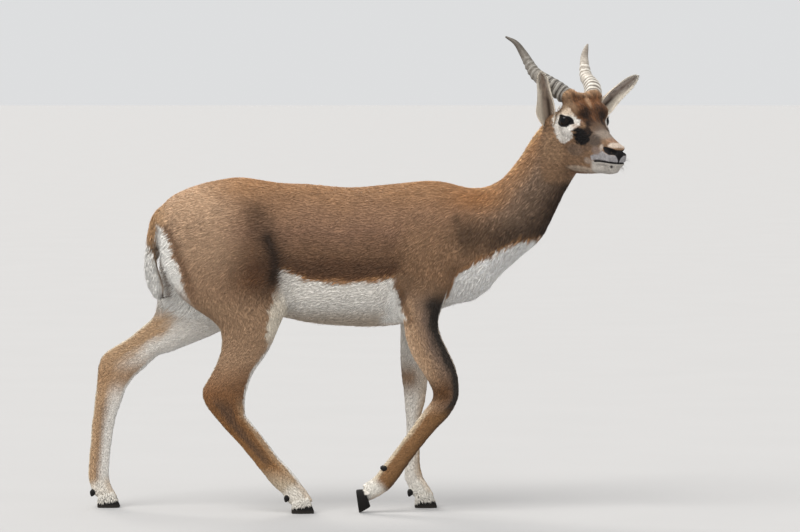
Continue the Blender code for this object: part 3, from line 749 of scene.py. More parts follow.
def tail_colours(w):
    """Hair of the tail: tan in front, a white fringe behind, a dark tip."""
    height = w[:, 2]
    rear = np.interp(height, (450, 482, 528, 570, 618, 652), (-450, -468, -475, -471, -464, -448))
    front = np.interp(height, (450, 482, 522, 566, 606, 626), (-424, -424, -436, -443, -441, -430))
    across = (w[:, 0] - rear) / (front - rear)
    strip_edge = np.interp(height, (486, 548, 591, 610), (-432, -453, -467, -476))
    strip = w[:, 0] - strip_edge + 2 * waves(w, 10, 6)
    return layered((0.34, 0.215, 0.130), (
        ((0.94, 0.92, 0.88), fall(across, 0.72, 0.88)),
        ((0.38, 0.245, 0.150), step(strip, -2, 3)),
        # Painted shade in the slit where the tail's front edge lies against the rump.
        ((0.055, 0.035, 0.025), step(across, 0.92, 1.0) * 0.7),
        ((0.56, 0.340, 0.180), step(height, 562, 592)),
        ((0.09, 0.058, 0.042), fall(height, 456, 482) * step(across, 0.45, 0.7) * 0.8),
    ))


def over_belly(w):
    """Height over the edge of the white belly and breast."""
    return w[:, 2] - np.interp(w[:, 0], *np.array(BELLY_EDGE).T)


def behind_rump(w):
    """How far behind the edge of the white buttocks a place lies."""
    return np.interp(w[:, 2], *np.array(RUMP_EDGE).T) - w[:, 0]


def body_colours(w):
    """Hair of trunk and neck: tan above, a dark line low on the side, white below and behind."""
    x, y, height = w[:, 0], np.abs(w[:, 1] - MIDDLE), w[:, 2]
    thigh = fall(x, -330, -225) * fall(height, 640, 700)
    colours = layered(by_key(height + 6 * waves(w, 90, 1), BODY_COLOUR_AND_LIGHT_BY_HEIGHT), (
        (by_key(height, THIGH_COLOUR_AND_LIGHT_BY_HEIGHT), thigh * 0.9),
        ((0.33, 0.196, 0.112), step(x, 60, 110) * fall(height, 590, 660) * 0.8),
    ))
    colours = colours * (1 + 0.06 * waves(w * (0.3, 1, 1), 13, 14))[:, None]
    nape = flat_line(x, height, NAPE_LINE)
    throat = flat_line(x, height, THROAT_LINE)
    neck = by_key(nape / (nape + throat + 1e-6), NECK_COLOUR_AND_LIGHT_ACROSS)
    spots = [(colour, bell((x - middle_x) / long, (height - middle_z) / high) * strength)
             for colour, (middle_x, middle_z), (long, high), strength in BODY_SPOTS]
    crease_shade = line_distance(w * (1, 0, 1), SHOULDER_SHADE_LINE)[0]
    ragged = 3.0 * waves(w, 14, 2)
    over = over_belly(w) + ragged
    along = step(x, -186, -170)
    belly = layered((0.77, 0.735, 0.685), (
        # Darker and browner under the belly: painted shade, with some soil on the hair.
        ((0.50, 0.40, 0.30), fall(height, 408, 448) * 0.8),
        # Whiter on the breast than on the belly: painted light on the same white hair.
        ((0.97, 0.95, 0.92), step(x, 150, 200)),
    ))
    behind = behind_rump(w) + ragged * 0.8
    beside = flat_line(x, height, TAIL_SHADE)
    rump = fall(height, 612, 626) * step(height, 380, 400)
    return layered(colours, (
        (neck, step(x * 0.9 + height * 0.35, 405, 520)),
        *spots,
        # Painted shade in the crease before the shoulder.
        ((0.10, 0.060, 0.037), bell(crease_shade / 9) * 0.55 * step(y, 20, 40)),
        ((0.095, 0.052, 0.030), along * bell((over - 25) / 17) * fall(x, 40, 90) * 0.6),
        ((0.42, 0.225, 0.105), along * bell((over - 3) / 5) * 0.8),
        (belly, along * fall(over, -5, 4)),
        *flank_fold_shade(w),
        ((0.17, 0.090, 0.050), rump * bell((behind + 12) / 10) * 0.75),
        (WHITE_HAIR, rump * step(behind, -4, 4)),
        ((0.15, 0.092, 0.056), rump * bell(beside / 6) * 0.8),
        ((0.62, 0.385, 0.205), fall(x, -445, -405) * step(height, 604, 626) * 0.8),
    ))


def head_colours(h):
    """Hair of the head and the bare black skin of nose, lips and lids."""
    x, y, z = one_side(h).T
    front = step(x, -100, -70) * fall(x, 2, 18) * fall(y, 30, 42) * step(z, -14, -2)
    streak = step(waves(h * (0.25, 1, 0.25), 7, 4), -0.6, 0.9)
    orange = paint((0.185, 0.080, 0.034), (0.055, 0.028, 0.016), streak * 0.75)
    colours = layered((0.225, 0.136, 0.080), (
        *soft_spots(h, JAW_SPOTS),
        (orange, front),
        *soft_spots(h, BROW_SPOTS),
        ((0.48, 0.300, 0.175), step(z, 34, 48) * fall(x, -60, -44) * 0.8),
        ((0.50, 0.330, 0.205), blot(h, (-36, 0, 33), (26, 7, 16)) * 0.5),
    ))
    colours = colours * (1 + 0.13 * waves(h * (0.5, 1, 1), 8, 12))[:, None]

    side = step(y, 14, 22)
    white = patch(x + 1.5 * waves(h, 7, 15), z, WHITE_PATCH, 2.2) * side
    cream = patch(x, z, WHITE_PATCH, 2.2) * step(z - 0.1 * x, 0, 12) * side
    above = flat_line(x, z, ABOVE_EYE)
    inner_corner = flat_line(x, z, INNER_CORNER)
    ragged = 2.2 * waves(h, 11, 9)
    black = patch(x + ragged, z + ragged, BLACK_PATCH, 3.0) * step(y, 9, 17)
    brow = flat_line(x + ragged, z, BROW_STREAK) / mix(4.5, 9.5, step(z, -6, 8))
    brow = bell(brow) * bell((y - 21) / 13)
    over = mouth_over(h)
    under_lip = step(x, 26, 42) * fall(over, -1, 2) * fall(-over, 24, 32)
    return layered(colours, (
        *soft_spots(h, MUZZLE_SPOTS),
        ((0.74, 0.71, 0.665), white),
        ((0.60, 0.46, 0.33), cream * 0.8),
        ((0.27, 0.180, 0.110), bell(above / 8.0) * 0.92 * side),
        ((0.56, 0.430, 0.345), bell(inner_corner / 4.5) * 0.7 * side),
        ((0.007, 0.006, 0.006), black),
        ((0.030, 0.018, 0.013), np.minimum(1, brow * 1.2)),
        *soft_spots(h, CHEEK_SPOTS),
        ((0.50, 0.465, 0.425), under_lip),
        ((0.35, 0.335, 0.345), patch(x, z, LIP_PATCH, 2.0)),
        ((0.23, 0.170, 0.140), blot(h, (54, 24, -61), (19, 10, 10)) * 0.9),
        ((0.03, 0.025, 0.024), blot(h, *CHIN_SPOT) * (h[:, 1] < 0)),
        ((0.012, 0.011, 0.012), bare_face(h)),
    ))


def bare_face(h):
    """One on the bare black skin of nose, mouth line and lids, zero where hair grows."""
    near, _ = nostril(h)
    x, y, z = one_side(h).T
    over = mouth_over(h)
    pad = np.abs(h[:, 1] + 1.5) - np.interp(z, NOSE_PAD_HEIGHT, NOSE_PAD_WIDTH)
    nose = step(x, 98, 103) * fall(pad, -0.8, 0.8) * step(over, -1, 1) * fall(z, -54, -51)
    mouth = fall(np.abs(over), 1.6, 3.0) * step(x, 34, 40) * step(y + x, 60, 66)
    bare = np.maximum(np.maximum(fall(near, 1.20, 1.55), nose), mouth)
    eye = patch(x, z, EYE_SHAPE, 1.0) * step(y, 27, 32)
    for side in (-1, 1):
        out, _, distance, _ = lid_distance(h, side, 14, 120)
        rim = fall(out, 1.0, 2.4) * fall(distance, EYE_RADIUS + 3.5, EYE_RADIUS + 6.0)
        bare = np.maximum(bare, np.maximum(rim, eye))
    return bare


def markings_and_painted_light(places, n, shares):
    """Colour of the hair at points of the skin, from their normals and the solids' shares."""
    w = places / MM
    h = to_head(places)
    trunk_like = body_colours(w)
    parts = {TRUNK: trunk_like, NECK: trunk_like, FACE: head_colours(h), TAIL: tail_colours(w)}
    for number in HIND_LEGS:
        upper = step(w[:, 2], 430, 500) * step(leg_facing(number, w, n)[1], -0.3, 0.2)
        parts[number] = paint(hind_colours(number, w, n), trunk_like, upper)
    for number in FORELEGS:
        parts[number] = fore_colours(number, w, n)
    sharp = shares ** 3
    sharp = sharp / sharp.sum(1, keepdims=True)
    return sum(sharp[:, number][:, None] * colours for number, colours in parts.items())


skin_places = read(skin.data.vertices, "co", 3)
skin_normals = read(skin.data.vertices, "normal", 3)
LEG_LINES = leg_lines(skin_places, skin_shares)
skin_colours = markings_and_painted_light(skin_places, skin_normals, skin_shares)


class Wire:
    """A socket of a material's nodes, on which Math nodes are written as sums."""

    def __init__(self, tree, socket):
        self.tree = tree
        self.socket = socket

    def node(self, kind, settings=(), inputs=(), output=0):
        """Any node: its settings first, then the values or wires of its sockets."""
        made = self.tree.nodes.new(kind)
        for name, value in dict(settings).items():
            if name == "stops":
                while len(made.color_ramp.elements) < len(value):
                    made.color_ramp.elements.new(0.5)
                for element, (place, colour) in zip(made.color_ramp.elements, value):
                    element.position = place
                    element.color = (*colour, 1)
            else:
                setattr(made, name, value)
        for name, value in dict(inputs).items():
            if isinstance(value, Wire):
                self.tree.links.new(value.socket, made.inputs[name])
            else:
                made.inputs[name].default_value = value
        return Wire(self.tree, made.outputs[output])

    def math(self, operation, first, second):
        return self.node("ShaderNodeMath", {"operation": operation}, {0: first, 1: second})

    def __add__(self, other):
        return self.math("ADD", self, other)

    def __radd__(self, other):
        return self.math("ADD", other, self)

    def __sub__(self, other):
        return self.math("SUBTRACT", self, other)

    def __rsub__(self, other):
        return self.math("SUBTRACT", other, self)

    def __mul__(self, other):
        return self.math("MULTIPLY", self, other)

    def __rmul__(self, other):
        return self.math("MULTIPLY", other, self)

    def into(self, socket):
        """Leads this wire to a socket of the shader."""
        self.tree.links.new(self.socket, socket)


def new_material(name, **constants):
    """A material, its shader with constants set on its own sockets, and a wire to start from."""
    material = bpy.data.materials.new(name)
    material.use_nodes = True
    shader = material.node_tree.nodes["Principled BSDF"]
    for socket, value in constants.items():
        shader.inputs[socket.replace("_", " ")].default_value = value
    return material, shader, Wire(material.node_tree, shader.outputs[0])


def put_colours(data, colours):
    """Stores colours of a mesh's vertices for its material."""
    layer = data.attributes.new("coat_colour", "FLOAT_COLOR", "POINT")
    opaque = np.column_stack((np.clip(colours, 0, 1), np.ones(len(colours))))
    layer.data.foreach_set("color", opaque.ravel())


def grained_material(name, scale, detail, shades, relief, **constants):
    """A material of the stored colours, shaded by a fine grain that may stand out in relief."""
    material, shader, start = new_material(name, **constants)
    colour = start.node("ShaderNodeAttribute", {"attribute_name": "coat_colour"})
    place = start.node("ShaderNodeTexCoord", output="Object")
    grain = start.node("ShaderNodeTexNoise", {}, {"Vector": place, "Scale": scale, "Detail": detail})
    shade = start.node("ShaderNodeMapRange", {}, {"Value": grain, "From Min": 0.3, "From Max": 0.7,
                                                  "To Min": shades[0], "To Max": shades[1]})
    tone = start.node("ShaderNodeVectorMath", {"operation": "SCALE"}, {0: colour, "Scale": shade})
    tone.into(shader.inputs["Base Color"])
    if relief:
        strength, depth = relief
        bumps = start.node("ShaderNodeBump", {}, {"Height": grain, "Strength": strength, "Distance": depth})
        bumps.into(shader.inputs["Normal"])
    return material


put_colours(skin.data, skin_colours)
hide = grained_material(
    "hide", 420.0, 3.0, (0.90, 1.10), (0.5, 0.0008), Roughness=0.8, Specular_IOR_Level=0.1)
skin.data.materials.append(hide)

# ------------------------------------------------------------------------------------------------
# The ears: thin cupped leaves of gristle, rolled to a tube at the root and open towards the front
# or the side. Each is a loft of arcs with the wall's thickness, folded lengthwise inside.
EAR_TIPS = {"right": (-84, -93, 87), "left": (-112, 163, 85)}
EAR_OPENINGS = {"right": (0.85, -0.52, 0.0), "left": (0.9, -0.25, -0.25)}
EAR_INSIDE = {"right": (0.28, 0.225, 0.180), "left": (0.36, 0.310, 0.275)}
EAR_HALF_WIDTH = 19.5
EAR_SLIMNESS = {"right": 0.24, "left": 0.10}      # how much narrower the outer half is
EAR_FLAP = {"right": 0.34, "left": 0.12}          # how much wider the rear edge is low down
EAR_WRAP = (60, 80)                          # half its arc at the tip, and what the root adds, in degrees
EAR_TIP = 1.2                                # half the width that the tip keeps
EAR_WALL = 1.9
EAR_RINGS = 44
EAR_ARC = 27
EAR_FOLDS = (9.5, 1.2)                       # how close the inner folds stand, and their slant


def closed_piece(name, mesh):
    """A smooth object from a closed mesh, its faces turned outwards."""
    bmesh.ops.recalc_face_normals(mesh, faces=mesh.faces[:])
    data = bpy.data.meshes.new(name)
    mesh.to_mesh(data)
    mesh.free()
    data.shade_smooth()
    return linked(name, data)


def loft(name, places, rings, sides):
    """A closed piece from rings of places in metres, with a cap on each end."""
    faces = []
    for a in range(0, (rings - 1) * sides, sides):
        b = a + sides
        faces += [(a + i, a + (i + 1) % sides, b + (i + 1) % sides, b + i) for i in range(sides)]
    faces += [range(sides)[::-1], range((rings - 1) * sides, rings * sides)]
    mesh = bmesh.new()
    corners = [mesh.verts.new(place) for place in places]
    for face in faces:
        mesh.faces.new([corners[i] for i in face])
    return closed_piece(name, mesh)


def ear_piece(side):
    """One ear, with where each vertex lies along it, across it, and inside or outside."""
    root, tip = Vector(EAR_ROOTS[side]), Vector(EAR_TIPS[side])
    along = (tip - root).normalized()
    length = (tip - root).length
    opening = Vector(EAR_OPENINGS[side])
    facing = (opening - along * along.dot(opening)).normalized()
    across = along.cross(facing)
    rear = -1 if side == "right" else 1
    places, marks = [], []
    for t in np.sin(np.linspace(0, math.pi / 2, EAR_RINGS)):
        blunt = math.sqrt(max(0, 1 - max(0, (t - 0.7) / 0.3) ** 2.2))
        slim = 1 - EAR_SLIMNESS[side] * float(step(t, 0.35, 0.75))
        leaf = math.sin(math.pi * (0.2 + 0.5 * t ** 0.7)) * blunt * slim
        half = (EAR_HALF_WIDTH - EAR_TIP) * leaf + EAR_TIP
        wrap = math.radians(EAR_WRAP[0] + EAR_WRAP[1] * max(0, 1 - t / 0.7) ** 1.3)
        radius = half / math.sin(min(wrap, math.pi / 2))
        middle = root + along * (length * t) + facing * (radius - half * 0.55 - 7 * t * (1 - t))
        for inner in (False, True):
            turns = np.linspace(-1, 1, EAR_ARC)[::-1 if inner else 1]
            for u in turns:
                wall = min(EAR_WALL * (1 - 0.45 * t), 0.5 * radius) * (1 - u ** 6)
                fold = math.sin(u * EAR_FOLDS[0] + EAR_FOLDS[1] * t) * (1 - u * u)
                folds = 1.2 * fold * math.sin(math.pi * t) * inner
                rim = 1.6 * abs(u) ** 5 * math.sin(math.pi * t)
                r = radius - (wall + folds if inner else 0) - rim
                angle = wrap * u
                flap = 1 + EAR_FLAP[side] * max(0, u * rear) * math.exp(-((t - 0.24) / 0.17) ** 2)
                place = middle + across * (math.sin(angle) * r * flap) - facing * (math.cos(angle) * r)
                places.append(HEAD @ place)
                marks.append((t, u, float(inner)))
    return loft("ear_skin_" + side, places, EAR_RINGS, 2 * EAR_ARC), np.array(marks)


def ear_colours(marks, side):
    """Colours of an ear: tan outside, cream inside with darker folds, and painted shade in a slit low down.
    """
    t, u, inner = marks.T
    spots = waves(np.column_stack((t * 70, u * 16, inner)), 9, 5)
    outside = layered((0.46, 0.33, 0.22), (
        ((0.58, 0.42, 0.28), fall(t, 0.1, 0.35)),
        ((0.13, 0.090, 0.070), step(t, 0.84, 0.97) * 0.6),
    ))
    folds = (0.5 + 0.5 * np.sin(u * EAR_FOLDS[0] + EAR_FOLDS[1] * t)) * (1 - u * u)
    flap = step(-u if side == "right" else u, 0.15, 0.5) * fall(t, 0.55, 0.8)
    root = (side == "left") * fall(t, 0.12, 0.38) * step(u, -0.6, 0.1)
    # Painted shade deep in the ear's cup, low down.
    shaded_slit = bell((u - 0.1 - 0.25 * t) / 0.15) * fall(t, 0.40, 0.62)
    inside = layered(EAR_INSIDE[side], (
        ((0.20, 0.145, 0.110), folds * 0.65),
        ((0.13, 0.095, 0.080), step(spots, 0.30, 0.8) * step(t, 0.25, 0.5) * 0.55),
        ((0.82, 0.74, 0.62), flap * 0.75),
        ((0.46, 0.29, 0.150), root * 0.8),
        ((0.035, 0.024, 0.018), shaded_slit * 0.95),
    ))
    rim = step(np.abs(u), 0.55, 0.85) * step(t, 0.03, 0.15)
    rim = rim * mix(0.5, 0.95, inner) * (1 - 0.5 * step(t, 0.8, 0.95))
    return layered(outside, ((inside, inner), ((0.90, 0.83, 0.72), rim)))


def ear_chart(marks):
    """Places of the ear's vertices on a flat chart, 0 to 1: its inside lies beside its outside."""
    t, u, inner = marks.T
    return np.column_stack((0.02 + 0.45 * (u + 1) / 2 + 0.5 * inner, 0.02 + 0.96 * t))


ears = {side: ear_piece(side) for side in EAR_ROOTS}
for side, (ear, marks) in ears.items():
    put_colours(ear.data, ear_colours(marks, side))
    corners = read(ear.data.loops, "vertex_index", 1, int)
    layer = ear.data.uv_layers.new(name="OFBake")
    layer.data.foreach_set("uv", ear_chart(marks)[corners].ravel())
    ear.data.materials.append(hide)
    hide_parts("ear_" + side)
    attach(ear, "root")

# ------------------------------------------------------------------------------------------------
# The horns: hollow sheaths of keratin on bone, grown in rings that stand out near the head and
# fade towards the smooth tip. A loft along the axis, with the rings a little aslant.
HORN_WAY = (                                 # x, y and z from the base, and the radius
    (-4, 1, 1, 17.6), (-14, 5, 5, 18.2), (-31, 14, 14, 17.8), (-60, 24, 25, 15.8), (-97, 32, 40, 13.0),
    (-129, 44, 74, 8.8), (-146, 56, 95, 5.6), (-166, 71, 105, 2.0),
)
HORN_SIDES = 40
HORN_STEP = 0.8                              # mm between the rings of vertices
HORN_UNEVEN = 4.5                            # the right tip stands this much higher, the left lower
RING_SPACING = 14.5
RING_HEIGHT = 1.9
STRONG_RINGS = 0.30                          # share of the length that the close, sharp rings take
RING_PARTS = ((0.42, 0.12), (0.86, 0.15), (0.12, 0.10))    # place and width of groove, crest and between
RINGS_END = 0.70                             # share of the length where the rings fade out
# The two horns are one colour; painted shade darkens the right and painted light brightens the left.
HORN_LIGHT_AND_SHADE = {"right": 0.43, "left": 1.0}


def smooth_rows(rows, count):
    """Rows of numbers on a Catmull-Rom curve through the given rows, evenly spaced in length."""
    rows = np.array(rows, float)
    padded = np.vstack((2 * rows[0] - rows[1], rows, 2 * rows[-1] - rows[-2]))
    found = []
    for a, b, c, d in zip(padded, padded[1:], padded[2:], padded[3:]):
        t = np.linspace(0, 1, 24, endpoint=False)[:, None]
        found.append(0.5 * (2 * b + (c - a) * t + (2 * a - 5 * b + 4 * c - d) * t ** 2
                            + (3 * b - a - 3 * c + d) * t ** 3))
    found = np.vstack(found + [rows[-1:]])
    length = np.concatenate(([0], np.cumsum(np.linalg.norm(np.diff(found[:, :3], axis=0), axis=1))))
    at = np.linspace(0, length[-1], count)
    return np.column_stack([np.interp(at, length, column) for column in found.T]), length[-1]


def horn_piece(side):
    """One horn, with how deep in a groove each vertex lies, how far along it is, and its crests."""
    mirror = -1 if side == "right" else 1
    total = smooth_rows(HORN_WAY, 2)[1]
    rows, total = smooth_rows(HORN_WAY, int(total / HORN_STEP))
    places, marks = [], []
    for k, (x, y, z, radius) in enumerate(rows):
        s = k / (len(rows) - 1)
        ahead, behind = rows[min(k + 4, len(rows) - 1)][:3], rows[max(k - 4, 0)][:3]
        along = Vector(ahead - behind).normalized()
        across = along.cross(Vector((0, 1, 0))).normalized()
        upward = across.cross(along).normalized()
        strong = float(fall(s, STRONG_RINGS, STRONG_RINGS + 0.06))
        upper = float(step(s, 0.40, 0.46) * fall(s, RINGS_END - 0.08, RINGS_END))
        fade = strong + 0.62 * upper + 0.16 * fall(s, RINGS_END - 0.1, RINGS_END)
        for i in range(HORN_SIDES):
            angle = 2 * math.pi * i / HORN_SIDES
            slant = 0.16 * math.cos(angle - 0.8) + 0.05 * math.sin(3 * angle + 7 * s)
            phase = (s * total / RING_SPACING + slant + 0.14 * math.sin(13 * s + mirror)) % 1
            groove, crest, between = (math.exp(-((phase - at) / width) ** 2) for at, width in RING_PARTS)
            front = 0.7 + 0.3 * math.cos(angle - 0.6)
            wave = 0.3 * math.sin(5 * angle + 9 * s)
            relief = 0.75 * crest - 0.85 * groove - 0.25 * between * strong
            r = max(radius + fade * front * RING_HEIGHT * relief + wave * fade, 0.8)
            out = across * math.cos(angle) + upward * math.sin(angle)
            lift = Vector((0, 0, -mirror * HORN_UNEVEN * s * s))
            place = Vector(HORN_BASE) + Vector((x, y, z)) + lift + out * r
            places.append(HEAD @ Vector((place.x, place.y * mirror, place.z)))
            marks.append((max(groove, 0.5 * between * strong) * fade, s, crest * fade))
    return loft("horn_sheath_" + side, places, len(rows), HORN_SIDES), np.array(marks)


def horn_colours(marks, places, tone):
    """Colours of a horn: grey-brown, dark at the tip, painted light on the crests, painted shade in the
    grooves.
    """
    groove, s, crest = marks.T
    streak = waves(places / MM, 9, 6)
    tip = step(s, 0.62, 0.85)
    strong = fall(s, STRONG_RINGS, STRONG_RINGS + 0.1)
    return tone * layered((0.34, 0.295, 0.245), (
        ((0.60, 0.555, 0.490), np.clip(0.45 + 0.3 * streak, 0, 1) * (1 - tip)),
        ((0.24, 0.205, 0.170), tip * 0.8),
        # Painted light on the rings' crests, and painted shade in their grooves.
        ((0.80, 0.765, 0.700), np.clip(crest * 1.2, 0, 1) * 0.8),
        ((0.045, 0.036, 0.030), np.clip(groove * 1.25, 0, 1) ** 1.6 * (0.35 + 0.57 * strong)),
    ))


horns = {side: horn_piece(side) for side in ("right", "left")}
keratin = grained_material(
    "keratin", 300.0, 4.0, (0.72, 1.18), (0.35, 0.0005), Roughness=0.5, Specular_IOR_Level=0.35)
for side, (horn, marks) in horns.items():
    places = read(horn.data.vertices, "co", 3)
    put_colours(horn.data, horn_colours(marks, places, HORN_LIGHT_AND_SHADE[side]))
    horn.data.materials.append(keratin)
    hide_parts("horn_" + side)
    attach(horn, "root")

# ------------------------------------------------------------------------------------------------
# The hooves: two claws of black keratin to a foot, flat below and sloped at the coronet, and two
# small dewclaws behind each pastern. Lofts in the foot's own frame, which stands at its heel.
CLAW_LENGTH = 50.0
CLAW_SLOPE = 0.24                            # share of the length that is lost up to the coronet
CLAW_WIDTH = 16.0
CLAW_CLEFT = 3.0
CORONET_FRONT = 25.0
CORONET_HEEL = 17.0
CLAW_SIDES = 48
CLAW_LEVELS = 22
DEWCLAW_PLACE = (-9.5, 9.5, 32.5)
DEWCLAW_SIZE = (6.5, 4.8, 8.6)
DEWCLAW_TILT = math.radians(18)
DEWCLAW_SHIFT = {"fore_right": (-28.5, 1, 34)}   # the folded pastern carries them further from the heel


def foot_frame(foot):
    """Matrix from a foot's millimetres to the world."""
    heel, side, pitch, lift = FEET[foot]
    return (Matrix.Translation(Vector((heel, side, lift)) * MM)
            @ Matrix.Rotation(math.radians(pitch), 4, "Y") @ Matrix.Scale(MM, 4))


def claw_point(side, angle, t, swell=0.0):
    """A point of a claw's wall in its foot's frame: angle from the toe, t from the sole up."""
    length = CLAW_LENGTH * (1 - CLAW_SLOPE * t)
    round_off = 1 - 0.10 * math.exp(-t * 22) - 0.04 * math.exp(-max(0, 1 - t) * 12)
    half = CLAW_WIDTH / 2 * (1 - 0.10 * t) * round_off
    along = 0.5 + 0.5 * math.cos(angle) * round_off
    narrow = 1 - 0.45 * along ** 2
    y = side * (CLAW_CLEFT + CLAW_WIDTH) / 2 + math.sin(angle) * (half * narrow + swell)
    rise = CORONET_HEEL + (CORONET_FRONT - CORONET_HEEL) * along + 1.0
    ripple = 0.18 * math.sin(t * 38 + 2 * along)
    return Vector((along * (length + ripple) + 1.5 * t + swell * math.cos(angle), y, t * rise))


def claw_piece(foot, which):
    """One claw of a foot: rounded toe, steep outer wall, flat sole."""
    side = -1 if which == "right" else 1
    place = foot_frame(foot)
    points = []
    for t in np.linspace(0, 1, CLAW_LEVELS):
        for angle in np.arange(CLAW_SIDES) * 2 * math.pi / CLAW_SIDES:
            point = place @ claw_point(side, angle, t)
            points.append((point.x, point.y, max(point.z, 0.0)))
    return loft(f"hoof_{foot}_{which}", points, CLAW_LEVELS, CLAW_SIDES)


def dewclaw_piece(foot):
    """The two dewclaws of a foot, blunt cones that point down and back."""
    mesh = bmesh.new()
    for side in (-1, 1):
        x, y, z = np.array(DEWCLAW_PLACE) + DEWCLAW_SHIFT.get(foot, (0, 0, 0))
        place = (foot_frame(foot) @ Matrix.Translation((x, side * y, z))
                 @ Matrix.Rotation(DEWCLAW_TILT, 4, "Y") @ Matrix.Diagonal((*DEWCLAW_SIZE, 1)))
        made = bmesh.ops.create_uvsphere(mesh, u_segments=20, v_segments=14, radius=1)
        for vertex in made["verts"]:
            narrow = 1 - 0.35 * max(0, -vertex.co.z)
            vertex.co.x *= narrow
            vertex.co.y *= narrow
            vertex.co = place @ vertex.co
    return closed_piece("dewclaws_" + foot, mesh)


def hoof_material():
    """Black keratin, worn paler towards the ground, with a fine grain."""
    material, shader, start = new_material("hoof", Specular_IOR_Level=0.14)
    place = start.node("ShaderNodeTexCoord", output="Object")
    height = start.node("ShaderNodeSeparateXYZ", {}, {0: place}, output=2)
    grain = start.node("ShaderNodeTexNoise", {}, {"Vector": place, "Scale": 260.0, "Detail": 4.0})
    worn = start.node("ShaderNodeMapRange", {}, {"Value": height + grain * 0.008, "From Min": 0.002,
                                                 "From Max": 0.014, "To Min": 0.6, "To Max": 0.0})
    colour = start.node("ShaderNodeMix", {"data_type": "RGBA"}, {
        0: worn, 6: (0.010, 0.009, 0.0085, 1), 7: (0.045, 0.037, 0.030, 1)}, output=2)
    colour.into(shader.inputs["Base Color"])
    (0.42 + grain * 0.3).into(shader.inputs["Roughness"])
    relief = start.node("ShaderNodeBump", {}, {"Height": grain, "Strength": 0.4, "Distance": 0.0005})
    relief.into(shader.inputs["Normal"])
    return material


hooves = []
black_keratin = hoof_material()
for foot in FEET:
    for which in ("right", "left"):
        claw = claw_piece(foot, which)
        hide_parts(f"claw_{foot}_{which}")
        hooves.append(claw)
    hooves.append(dewclaw_piece(foot))
for hoof in hooves:
    hoof.data.materials.append(black_keratin)
    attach(hoof, "root")

# ------------------------------------------------------------------------------------------------
# The eyes: wet, nearly black balls with a dark brown iris round a black pupil, under a clear
# cornea that stands out a little.
BALL_INSET = 0.7                             # under the lids, in mm
CORNEA_RISE = 0.9
CORNEA_SPREAD = 34.0                         # degrees


def eye_piece(side):
    """One eyeball, with how many degrees each vertex lies off the middle of the iris."""
    mirror, axis, _, _ = eye_frame(-1 if side == "right" else 1)
    centre, axis = Vector(np.array(EYE_CENTRE) * mirror), Vector(axis)
    turn = Vector((0, 0, 1)).rotation_difference(axis).to_matrix()
    mesh = bmesh.new()
    bmesh.ops.create_uvsphere(mesh, u_segments=64, v_segments=48, radius=1)
    marks = []
    for vertex in mesh.verts:
        ray = turn @ vertex.co
        off = math.degrees(math.acos(max(-1, min(1, ray.dot(axis)))))
        bulge = CORNEA_RISE * math.exp(-(off / CORNEA_SPREAD) ** 2)
        vertex.co = HEAD @ (centre + ray * (EYE_RADIUS - BALL_INSET + bulge))
        marks.append(off)
    return closed_piece("eyeball_" + side, mesh), np.array(marks)


def eye_material():
    """A wet eye: dark brown iris round a black pupil, nearly black towards the white."""
    material, shader, start = new_material(
        "eye", Roughness=0.10, Specular_IOR_Level=0.08, Coat_Weight=0.22, Coat_Roughness=0.02)
    off = start.node("ShaderNodeAttribute", {"attribute_name": "off_axis"}, output=2)
    place = start.node("ShaderNodeTexCoord", output="Object")
    grain = start.node("ShaderNodeTexNoise", {}, {"Vector": place, "Scale": 900.0, "Detail": 2.0})
    colour = start.node("ShaderNodeValToRGB", {"stops": (
        (0.0, (0.002, 0.002, 0.003)), (0.24, (0.002, 0.002, 0.003)), (0.30, (0.009, 0.005, 0.003)),
        (0.50, (0.007, 0.004, 0.003)), (0.60, (0.004, 0.003, 0.003)), (1.0, (0.003, 0.002, 0.002)),
    )}, {0: off + (grain - 0.5) * 0.05})
    colour.into(shader.inputs["Base Color"])
    return material


eyes = {side: eye_piece(side) for side in ("right", "left")}
wet = eye_material()
for side, (eye, marks) in eyes.items():
    eye.data.attributes.new("off_axis", "FLOAT", "POINT").data.foreach_set("value", marks / 90)
    eye.data.materials.append(wet)
    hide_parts("eye_" + side)
    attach(eye, "root")

# ------------------------------------------------------------------------------------------------
# The coat: thousands of thin closed locks, each rooted in the skin, laid along the lie of the hair
# and coloured by the markings, with their painted light and shade, where it lies. Short and fine
# on face and feet, longer below the belly, on throat, buttocks and tail.
HAIR = {                                     # mm between roots, length, width, and rise of the tip
    "trunk": (3.2, 17, 2.0, 1.3), "neck": (2.9, 14, 1.7, 1.7), "head": (2.05, 6.0, 1.0, 0.7),
    "tail": (2.3, 26, 1.8, 2.6), "hindleg": (2.8, 12, 1.6, 1.0), "foreleg": (2.6, 10, 1.4, 0.9),
}
LOWER_LEG_HAIR = (2.25, 7.0, 1.2, 0.5)
FACE_HAIR = (1.75, 4.2, 0.9, 0.5)
POLL_HAIR = (1.9, 10, 1.1, 2.2)
BELLY_HAIR = (3.1, 20, 2.2, 2.0)
BREAST_HAIR = (3.0, 19, 2.1, 2.4)
RUMP_HAIR = (2.7, 23, 2.0, 3.0)
LOCK_LIMIT = 19000                           # locks to a piece
BODY_LIE = (                                 # x, height, and degrees below straight back that hair points
    (150, 700, 5), (0, 690, 3), (-200, 705, 3), (-350, 690, 12), (-420, 650, 35), (150, 620, 35),
    (0, 620, 10), (-200, 620, 12), (-330, 600, 30), (-400, 560, 45), (100, 520, 50), (0, 520, 15),
    (-120, 520, 12), (-200, 520, 35), (0, 430, 15), (-150, 450, 20), (-300, 520, 42), (-300, 450, 55),
    (-250, 400, 70), (170, 600, 55), (130, 540, 60), (120, 460, 75), (230, 520, 60), (260, 560, 65),
    (330, 700, 52), (400, 800, 58), (260, 640, 50), (360, 600, 50),
)
BODY_LIE_REACH = 70.0
